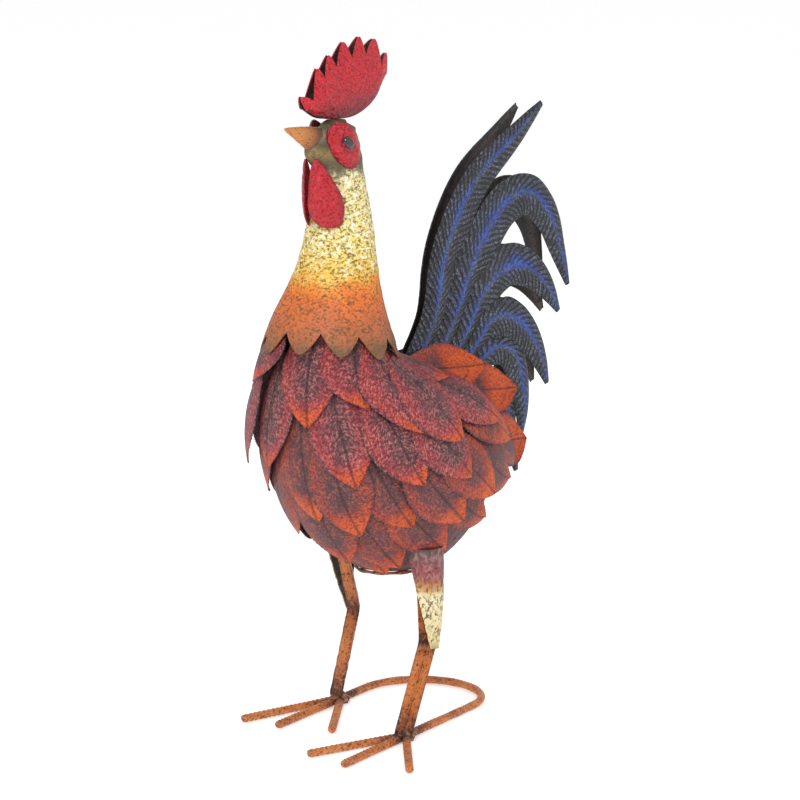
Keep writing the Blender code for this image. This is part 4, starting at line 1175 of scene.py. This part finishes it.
@dataclass
class Headgear:
    """Comb of two dished leaves and the two wattles."""

    tips: tuple = ((-0.0925, 0.590), (-0.073, 0.6135), (-0.058, 0.625), (-0.039, 0.636),
                   (-0.018, 0.640), (0.003, 0.637), (0.018, 0.624))
    valleys: tuple = ((-0.090, 0.580), (-0.081, 0.587), (-0.067, 0.605), (-0.052, 0.614),
                      (-0.032, 0.621), (-0.014, 0.623), (0.007, 0.611), (0.0165, 0.606))
    base: tuple = ((-0.088, 0.579), (-0.072, 0.571), (-0.050, 0.5685), (-0.026, 0.570),
                   (0.001, 0.584), (0.015, 0.604))
    spread: float = 0.0052
    gap: float = 0.0006
    tooth_foot: float = 0.68
    sheet: float = 0.0010
    wattle_top: tuple = (-0.0832, 0.5340)
    wattle_height: float = 0.0605
    wattle_yaw: dict = field(default_factory=lambda: {Side.LEFT: 47.0, Side.RIGHT: 27.0})
    wattle_dish: float = 0.0052
    wattle_gap: float = 0.0030
    # Share of the height, and distance of the front and rear edge from the hanging line
    wattle_outline: tuple = (
        (0.0, 0.0030, 0.0065), (0.12, 0.0004, 0.0125), (0.32, -0.0012, 0.0205), (0.52, -0.0022, 0.0270),
        (0.70, -0.0022, 0.0296), (0.84, 0.0006, 0.0288),
        (0.93, 0.0048, 0.0266), (0.98, 0.0098, 0.0236), (1.0, 0.0145, 0.0195))

    def build(self) -> None:
        """Model the comb and the wattles."""
        for side in Side:
            self.build_comb(side)
            self.build_wattle(side)

    def build_comb(self, side: Side) -> None:
        """Model one leaf of the comb.

        Args:
            side: Side of the rooster.
        """
        count = len(self.tips)
        item, across, along = sheet_grid(f"comb_leaf_{side.word}", 16 * count, 40)
        place = (across + 1) / 2 * count
        index = np.clip(place.astype(int), 0, count - 1)
        part = place - index
        valleys, tips = np.array(self.valleys), np.array(self.tips)
        low, high = valleys[index], valleys[index + 1]
        level = low + (high - low) * part[:, None]
        rise = 1 - np.abs(2 * part - 1) ** 1.7
        top = level + (tips[index] - (low + high) / 2) * rise[:, None]
        base = np.array(self.base)
        run = np.concatenate(((0.0,), np.cumsum(np.linalg.norm(np.diff(base, axis=0), axis=1))))
        foot = curve_through([(a / run[-1], *b) for a, b in zip(run, self.base)], place / count)
        inner = np.clip(along / self.tooth_foot, 0, 1)[:, None]
        outer = np.clip((along - self.tooth_foot) / (1 - self.tooth_foot), 0, 1)[:, None]
        spot = foot + (level - foot) * inner + (top - level) * outer
        end = np.minimum(1.0, 4 * np.minimum(place, count - place) / count + 0.35)
        width = curve_through(((0.0, 0.3), (0.3, 1.0), (self.tooth_foot, 0.95), (1.0, 0.95)), along)[:, 0]
        width = width * (1 - rise * outer[:, 0]) * self.spread * end
        y = side.value * (width + self.gap + self.sheet / 2)
        points = np.stack((spot[:, 0], y, spot[:, 1]), axis=-1)
        points[:, 1] += side.value * 0.00035 * (1 + lumps(points, 0.008, 4)) * np.sin(along * math.pi)
        grade = 0.10 + 0.62 * np.clip(along * 2.2, 0, 1) + 0.12 * outer[:, 0]
        bend(item, points + SHIFT, {"grade": grade})
        close_up(item, SEAM_REACH)
        face_out(item, np.array((0.0, side.value, 0.0)))
        two_faced(item, RED_ENAMEL.make(), LINING_ENAMEL.make(), self.sheet)
        finish(item, RED_ENAMEL.make(), "red", f"comb_{side.word}")

    def build_wattle(self, side: Side) -> None:
        """Model one wattle, a dished drop that opens backwards.

        Args:
            side: Side of the rooster.
        """
        way = side.value
        item, across, along = sheet_grid(f"wattle_drop_{side.word}", 28, 60)
        part = (across + 1) / 2
        row = curve_through(self.wattle_outline, along)
        yaw = math.radians(self.wattle_yaw[side])
        aside = np.array((math.cos(yaw), way * math.sin(yaw), 0.0))
        out = np.array((-math.sin(yaw), way * math.cos(yaw), 0.0))
        bulge = self.wattle_dish * (4 * part * (1 - part)) ** 0.7 * np.sin(math.pi * (0.1 + 0.8 * along))
        start = np.array((self.wattle_top[0], way * (self.wattle_gap + self.sheet / 2), self.wattle_top[1]))
        points = (start + aside * (row[:, 0] + (row[:, 1] - row[:, 0]) * part)[:, None]
                  + out * bulge[:, None] - np.array((0, 0, self.wattle_height)) * along[:, None])
        points = points + out * (0.0004 * lumps(points, 0.0085, 6) * np.sin(part * math.pi))[:, None]
        grade = 0.25 + 0.45 * np.sin(part * math.pi) ** 0.6 * np.sin(math.pi * (0.06 + 0.88 * along)) ** 0.5
        bend(item, points + SHIFT, {"grade": grade})
        wall(item, self.sheet)
        close_up(item, WALL_REACH)
        finish(item, RED_ENAMEL.make(), "red", f"wattle_{side.word}")


@dataclass
class Tail:
    """Two panels, each one sheet cut into six embossed sickles."""

    body: BodyForm
    half_gap: float = 0.0030
    splay: float = 0.110
    ridge: float = 0.0035
    step: float = 0.021
    join_steps: int = 3
    root_gap: float = 0.0022
    taper: float = 4.0
    tip_half: float = 0.0030
    sheet: float = 0.0010
    shares: dict = field(default_factory=lambda: {Side.LEFT: 1.0, Side.RIGHT: 0.985})
    # Fan angle of the root, places in X and Z that the ridge runs through, twice the width
    # above and below the ridge, and steps over which it is joined to the next sickle
    sickles: tuple = (
        (26, ((0.080, 0.375), (0.092, 0.434), (0.130, 0.498), (0.190, 0.543), (0.2225, 0.567)),
         0.026, 0.046, 6),
        (32, ((0.107, 0.370), (0.143, 0.439), (0.180, 0.477), (0.208, 0.483), (0.235, 0.463), (0.251, 0.425),
              (0.263, 0.388)), 0.036, 0.050, 5),
        (38, ((0.123, 0.353), (0.158, 0.400), (0.192, 0.413), (0.223, 0.401), (0.243, 0.382), (0.257, 0.362)),
         0.044, 0.040, 4),
        (45, ((0.139, 0.342), (0.162, 0.364), (0.187, 0.364), (0.214, 0.345), (0.232, 0.317), (0.242, 0.292)),
         0.032, 0.037, 3),
        (53, ((0.153, 0.331), (0.174, 0.338), (0.194, 0.327), (0.205, 0.300), (0.208, 0.270), (0.205, 0.245)),
         0.024, 0.034, 2),
        (62, ((0.169, 0.305), (0.183, 0.276), (0.191, 0.243), (0.199, 0.211)), 0.022, 0.024, 0))

    def line(self, root_angle: float, points: tuple) -> Array:
        """Ridge of one sickle in equal steps from its root on the back.

        Args:
            root_angle: Fan angle of its root.
            points: Places in X and Z that it runs through.

        Returns:
            The ridge, step by step.
        """
        root = self.body.surface(np.array(float(root_angle)), np.array(math.pi))
        start = root + self.body.normal(np.array(float(root_angle)), np.array(math.pi)) * self.root_gap
        line = np.array([(start[0], start[2])] + list(points))
        run = np.concatenate(((0.0,), np.cumsum(np.linalg.norm(np.diff(line, axis=0), axis=1))))
        steps = int(round(run[-1] / self.step))
        return curve_through([(a, *b) for a, b in zip(run, line)], np.linspace(0, run[-1], steps + 1))

    def edges(self, line: Array, above: float, below: float) -> tuple[Array, Array]:
        """Both edges of a sickle, which keeps its width and runs out to a blunt point.

        Args:
            line: Its ridge.
            above: Twice its width above the ridge.
            below: Twice its width below the ridge.

        Returns:
            The upper and the lower edge, step by step.
        """
        ahead = np.gradient(line, axis=0)
        ahead = ahead / np.linalg.norm(ahead, axis=1, keepdims=True)
        aside = np.stack((-ahead[:, 1], ahead[:, 0]), axis=-1)
        taper = ((1 - np.linspace(0, 1, len(line)) ** self.taper) * 0.5)[:, None]
        return line + aside * (above * taper + self.tip_half), line - aside * (below * taper + self.tip_half)

    def build(self) -> None:
        """Model both panels."""
        lines = [self.line(row[0], row[1]) for row in self.sickles]
        edges = [self.edges(line, row[2], row[3]) for line, row in zip(lines, self.sickles)]
        for index, row in enumerate(self.sickles[:-1]):
            for step in range(row[4] + 1):
                middle = (lines[index][step] + lines[index + 1][step]) / 2
                edges[index][1][step] = middle
                edges[index + 1][0][step] = middle
        root = lines[0][0]
        for side in Side:
            strips = []
            for index, (line, (upper, lower)) in enumerate(zip(lines, edges)):
                strips.append(self.sickle(side, index, line, upper, lower, root))
            item = join(strips, f"tail_panel_{side.word}")
            close_up(item, STRIP_REACH)
            face_out(item, np.array((0.0, side.value, 0.0)))
            two_faced(item, TAIL_ENAMEL.make(), LINING_ENAMEL.make(), self.sheet)
            finish(item, TAIL_ENAMEL.make(), "slate", f"tail_{side.word}")

    def sickle(self, side: Side, index: int, line: Array, upper: Array, lower: Array,
               root: Array) -> bpy.types.Object:
        """Model one sickle as a ridged strip.

        Args:
            side: Side of the rooster.
            index: Number of the sickle.
            line: Its ridge, step by step.
            upper: Its upper edge.
            lower: Its lower edge.
            root: Point that the panel's size is measured from.

        Returns:
            The strip, still a sheet.
        """
        steps = len(line) - 1
        item, across, along = sheet_grid(f"sickle_{side.word}_{index}", 16, steps * 8)
        at = along * steps
        keys = np.arange(steps + 1)
        ridge, high, low = (curve_through([(k, *p) for k, p in zip(keys, rows)], at)
                            for rows in (line, upper, lower))
        spot = np.where(across[:, None] < 0, ridge + (high - ridge) * -across[:, None],
                        ridge + (low - ridge) * across[:, None])
        grown = 1 - (1 - self.shares[side]) * np.minimum(at / self.join_steps, 1.0)
        spot = root + (spot - root) * grown[:, None]
        aside = self.half_gap + self.splay * (at * self.step) ** 2
        width = np.linalg.norm(high - low, axis=1)
        hump = np.cos(np.clip(np.abs(across), 0, 1) * math.pi / 2) ** 0.8
        y = side.value * (aside + self.ridge * hump * np.clip(width / 0.02, 0.2, 1))
        points = np.stack((spot[:, 0], y, spot[:, 1]), axis=-1)
        reach = np.abs(across) * width / 2
        vein = 1000 * (at * self.step - reach * 1.1)
        # Blue along the ridge, set a little towards the upper half; the lower half of each sickle is painted
        # darker, as painted shade
        ridge_blue = np.exp(-((across + 0.10) / (0.46 if index else 0.34)) ** 2)
        grade = 0.08 + 0.66 * ridge_blue - 0.20 * np.clip(across, 0, 1) + 0.12 * np.sin(at * 1.7 + index)
        bend(item, points + SHIFT, {"grade": grade, "vein": vein, "rib": np.abs(across)})
        return item


@dataclass
class Legs:
    """Legs of folded strip, thigh covers, ribbed toes and the rear loop."""

    turn: float = 10.0
    loop_centre: tuple = (0.082, 0.015)
    spread: float = 0.0595
    reach: dict = field(default_factory=lambda: {Side.LEFT: 0.118, Side.RIGHT: 0.047})
    toes: dict = field(default_factory=lambda: {
        Side.LEFT: {"middle": (0, 0.104), "outer": (34, 0.104), "inner": (-25, 0.104)},
        Side.RIGHT: {"middle": (0, 0.106), "outer": (-20, 0.114), "inner": (29, 0.106)}})
    stub: float = 0.052
    rod: float = 0.0080
    loop_rod: float = 0.0075
    rib: float = 0.0052
    rod_step: float = 0.0009
    hock: dict = field(default_factory=lambda: {
        Side.LEFT: (0.006, -0.065, 0.089), Side.RIGHT: (0.047, 0.064, 0.091)})
    hip: dict = field(default_factory=lambda: {
        Side.LEFT: (0.0020, -0.0610, 0.216), Side.RIGHT: (0.010, 0.062, 0.215)})
    flange: float = 0.0115
    opening: dict = field(default_factory=lambda: {Side.LEFT: 215, Side.RIGHT: 175})
    strip: float = 0.0016
    strip_edge: float = 0.0004
    bead: tuple = (0.0092, 0.0092, 0.0070)
    cover_drop: float = 0.038
    cover_bottom: float = 0.084
    cover_radii: tuple = (0.0172, 0.0132)
    cover_angles: tuple = (95, 17)
    cover_turn: dict = field(default_factory=lambda: {Side.LEFT: 18.0, Side.RIGHT: -8.0})
    sheet: float = 0.0010

    def axes(self) -> tuple[Array, Array]:
        """Directions of the turned feet.

        Returns:
            Unit vectors ahead and to the rooster's left.
        """
        turn = math.radians(self.turn)
        return (np.array((-math.cos(turn), -math.sin(turn), 0.0)),
                np.array((math.sin(turn), -math.cos(turn), 0.0)))

    def hub(self, side: Side) -> Array:
        """Point where a foot's toes meet.

        Args:
            side: Side of the rooster.

        Returns:
            The point.
        """
        ahead, left = self.axes()
        centre = np.array((*self.loop_centre, self.rod / 2))
        return centre - side.value * self.spread * left + self.reach[side] * ahead

    def build(self) -> None:
        """Model both legs, both feet and the loop."""
        for side in Side:
            self.build_leg(side)
            self.build_cover(side)
            self.build_toes(side)
        self.build_loop()

    def build_leg(self, side: Side) -> None:
        """Model one leg as a folded strip bent at the hock, with its weld.

        Args:
            side: Side of the rooster.
        """
        ahead, _ = self.axes()
        foot = self.hub(side) + ahead * 0.004
        foot[2] = self.rod - 0.0005
        path = np.array((foot, self.hock[side], self.hip[side]))
        item, across, along = sheet_grid(f"shank_{side.word}", 20, 120)
        height = path[0, 2] + (path[2, 2] - 0.006 - path[0, 2]) * along
        spots = np.linspace(path[0, 2], path[2, 2], 300)
        lines = [np.interp(spots, path[:, 2], path[:, axis]) for axis in (0, 1)]
        soft = [np.convolve(np.pad(line, 8, "edge"), np.ones(17) / 17, "valid") for line in lines]
        x, y = (np.interp(height, spots, line) for line in soft)
        way = math.radians(self.opening[side])
        open_way = np.array((math.cos(way), math.sin(way)))
        aside = np.array((-open_way[1], open_way[0]))
        fold = np.sqrt(across ** 2 + 0.006) - 0.075
        slope = 0.7071  # each flange stands at 45 degrees
        flat = (open_way * (fold * self.flange * slope - self.flange * 0.35 + self.strip * 0.7)[:, None]
                + aside * (across * self.flange * slope)[:, None])
        points = np.stack((x + flat[:, 0], y + flat[:, 1], height), axis=-1)
        points[:, :2] += 0.00035 * lumps(points, 0.012, 8)[:, None] * open_way
        hock_z = self.hock[side][2]
        # Painted shade: a dark band at the hock, where the real strip's notch lies in shadow; the strip is
        # also darker towards the foot
        dark = np.exp(-((height - hock_z) / 0.010) ** 2) + np.exp(-((height - path[0, 2]) / 0.022) ** 2)
        # Painted shade along the crease of the fold and at both flange edges
        dark = dark + np.exp(-(across / 0.09) ** 2) * (0.75 + 0.5 * lumps(points, 0.014, 3))
        dark = dark + 0.6 * np.clip((np.abs(across) - 0.82) / 0.18, 0, 1)
        bend(item, points + SHIFT, {"grade": np.clip(0.80 - 0.6 * dark, 0, 1)})
        wall(item, self.strip)
        close_up(item, WALL_REACH)
        apply(item, "edge", "BEVEL", width=self.strip_edge, segments=2, limit_method="ANGLE",
              angle_limit=math.radians(50))
        weld = self.weld(f"hub_weld_{side.word}", self.hub(side) + ahead * 0.002, self.bead)
        item = join([item, weld], f"leg_strip_{side.word}")
        finish(item, RUST_ENAMEL.make(), "rust", f"leg_{side.word}")

    def weld(self, name: str, centre: Array, size: tuple) -> bpy.types.Object:
        """A lumpy bead of weld.

        Args:
            name: Name of the object.
            centre: Its middle.
            size: Its half sizes.

        Returns:
            The bead.
        """
        item, across, along = sheet_grid(name, 28, 18)
        turn, tilt = across * math.pi, along * math.pi
        points = np.stack((np.cos(turn) * np.sin(tilt), np.sin(turn) * np.sin(tilt), -np.cos(tilt)), axis=-1)
        points = points * size * (1 + 0.16 * lumps(points, 0.9, 2))[:, None] + centre
        points[:, 2] = np.maximum(points[:, 2], 0.0004)
        bend(item, points + SHIFT, {"grade": 0.12})
        close_up(item, SEAM_REACH)
        return item

    def build_cover(self, side: Side) -> None:
        """Model the curved plate outside one thigh.

        Args:
            side: Side of the rooster.
        """
        hock, hip = np.array(self.hock[side]), np.array(self.hip[side])
        item, across, along = sheet_grid(f"cover_{side.word}", 36, 60)
        height = (hip[2] - self.cover_drop) * (1 - along) + self.cover_bottom * along
        climb = (height - hock[2]) / (hip[2] - hock[2])
        centre = hock + (hip - hock) * climb[:, None]
        radius = self.cover_radii[0] + (self.cover_radii[1] - self.cover_radii[0]) * along
        half = np.radians(self.cover_angles[0] + (self.cover_angles[1] - self.cover_angles[0]) * along)
        turn = across * half - math.radians(self.cover_turn[side]) * (1 + 0.4 * along)
        points = np.stack((centre[:, 0] + radius * np.sin(turn),
                           centre[:, 1] + side.value * radius * np.cos(turn), height), axis=-1)
        points[:, 1] += side.value * 0.0004 * lumps(points, 0.012, 11)
        bend(item, points + SHIFT, {"grade": along})
        face_out(item, np.array((-0.3, side.value, 0.0)))
        two_faced(item, THIGH_ENAMEL.make(), LINING_ENAMEL.make(), self.sheet)
        finish(item, THIGH_ENAMEL.make(), "mauve", f"thigh_cover_{side.word}")

    def build_toes(self, side: Side) -> None:
        """Model three ribbed rods; the middle one runs on behind the foot.

        Args:
            side: Side of the rooster.
        """
        ahead, left = self.axes()
        centre = self.hub(side)
        for toe, (turn, length) in self.toes[side].items():
            splay = math.radians(turn)
            way = ahead * math.cos(splay) + left * math.sin(splay)
            end = centre - ahead * self.stub if toe == "middle" else centre - way * 0.002
            path = np.array((centre + way * length, end))
            rows = int(np.linalg.norm(path[1] - path[0]) / self.rod_step)
            item = tube(f"rod_{toe}_{side.word}", path, self.ribbed, 24, rows)
            places = vertices(item) - SHIFT
            near = np.linalg.norm(places - centre, axis=1)
            radial = np.linalg.norm(np.cross(places - centre, way), axis=1) - self.rod / 2
            grade = 0.86 - 0.74 * np.exp(-(near / 0.024) ** 2) + 550 * np.clip(radial, -0.0007, 0)
            bend(item, places + SHIFT, {"grade": grade})
            finish(item, RUST_ENAMEL.make(), "rust", f"toe_{toe}_{side.word}")

    def ribbed(self, turn: Array, at: Array) -> Array:
        """Radius of a ribbed rod, whose ribs slant round it from two seams.

        Args:
            turn: Angles round the rod.
            at: Distances along it.

        Returns:
            The radii.
        """
        rib = np.sin((at / self.rib + np.abs(np.sin(turn)) * 0.55) * 2 * math.pi)
        rib = np.clip(rib, -0.3, 1.0) * np.clip(np.abs(np.sin(turn + 0.5)) * 2.2, 0, 1)
        return self.rod / 2 - 0.00045 + 0.00042 * rib

    def build_loop(self) -> None:
        """Model the smooth U that joins both middle rods."""
        ahead, left = self.axes()
        centre = np.array((*self.loop_centre, self.loop_rod / 2))
        start = self.reach[Side.LEFT] - self.stub
        end = self.reach[Side.RIGHT] - self.stub
        last = math.pi + math.asin(end / self.spread)
        path = [centre + left * self.spread + ahead * start]
        for turn in np.linspace(0, last, 60):
            path.append(centre + self.spread * (left * math.cos(turn) - ahead * math.sin(turn)))
        item = tube("loop_rod", path,
                    lambda turn, at: self.loop_rod / 2 - 0.0001 + 0.00012 * np.sin(at * 210), 24, 260)
        places = vertices(item)
        bend(item, places, {"grade": 0.62 + 0.14 * lumps(places, 0.03, 12)})
        finish(item, RUST_ENAMEL.make(), "rust", "rear_loop")


@dataclass
class Studio:
    """Camera, pale floor and soft light."""

    camera_place: tuple = (-1.9747, -1.8414, 0.80)
    camera_turn: tuple = (79.638, 0.0, -47.544)
    lens: float = 134.127
    floor_size: float = 40.0
    floor_glow: float = 0.38
    sky: float = 0.64
    aim: tuple = (-0.05, 0.0, 0.32)
    # Name, place, watts and size of each lamp
    lamps: tuple = (("key", (-2.2, -1.3, 2.4), 44.0, 1.2), ("fill", (0.8, -2.6, 1.4), 6.0, 2.0),
                    ("back", (1.8, 1.6, 2.0), 10.0, 1.8))

    def build(self) -> None:
        """Set up the view and the light."""
        data = bpy.data.cameras.new("view")
        data.lens, data.sensor_width, data.clip_end = self.lens, 36.0, 50.0
        camera = bpy.data.objects.new("view", data)
        camera.location = np.array(self.camera_place) + SHIFT
        camera.rotation_euler = [math.radians(angle) for angle in self.camera_turn]
        bpy.context.collection.objects.link(camera)
        bpy.context.scene.camera = camera
        bpy.ops.mesh.primitive_plane_add(size=self.floor_size, location=(0, 0, -0.0002))
        floor = bpy.context.active_object
        floor.name = "floor"
        material = bpy.data.materials.new("pale_floor")
        material.use_nodes = True
        shader = material.node_tree.nodes["Principled BSDF"]
        shader.inputs["Base Color"].default_value = linear("#FAFAFA")
        shader.inputs["Roughness"].default_value = 0.9
        shader.inputs["Emission Color"].default_value = (1.0, 1.0, 1.0, 1.0)
        shader.inputs["Emission Strength"].default_value = self.floor_glow
        floor.data.materials.append(material)
        world = bpy.data.worlds.new("studio")
        world.use_nodes = True
        sky = world.node_tree.nodes["Background"]
        sky.inputs["Color"].default_value = (1.0, 1.0, 1.0, 1.0)
        sky.inputs["Strength"].default_value = self.sky
        bpy.context.scene.world = world
        bpy.context.scene.view_settings.view_transform = "Standard"
        for name, place, power, size in self.lamps:
            light = bpy.data.lights.new(name, "AREA")
            light.energy, light.size = power, size
            lamp = bpy.data.objects.new(name, light)
            lamp.location = place
            way = np.array(self.aim) - np.array(place)
            pitch = math.atan2(math.hypot(way[0], way[1]), -way[2])
            lamp.rotation_euler = (pitch, 0.0, math.atan2(way[1], way[0]) - math.pi / 2)
            bpy.context.collection.objects.link(lamp)


def main() -> None:
    """Build the statue piece by piece."""
    logging.basicConfig(level=logging.INFO, format="%(name)s: %(message)s")
    body = BodyForm()
    Studio().build()
    Shell(body).build()
    Plumage(body).build()
    Neck().build()
    Headgear().build()
    Tail(body).build()
    Legs().build()


if __name__ == "__main__":
    main()
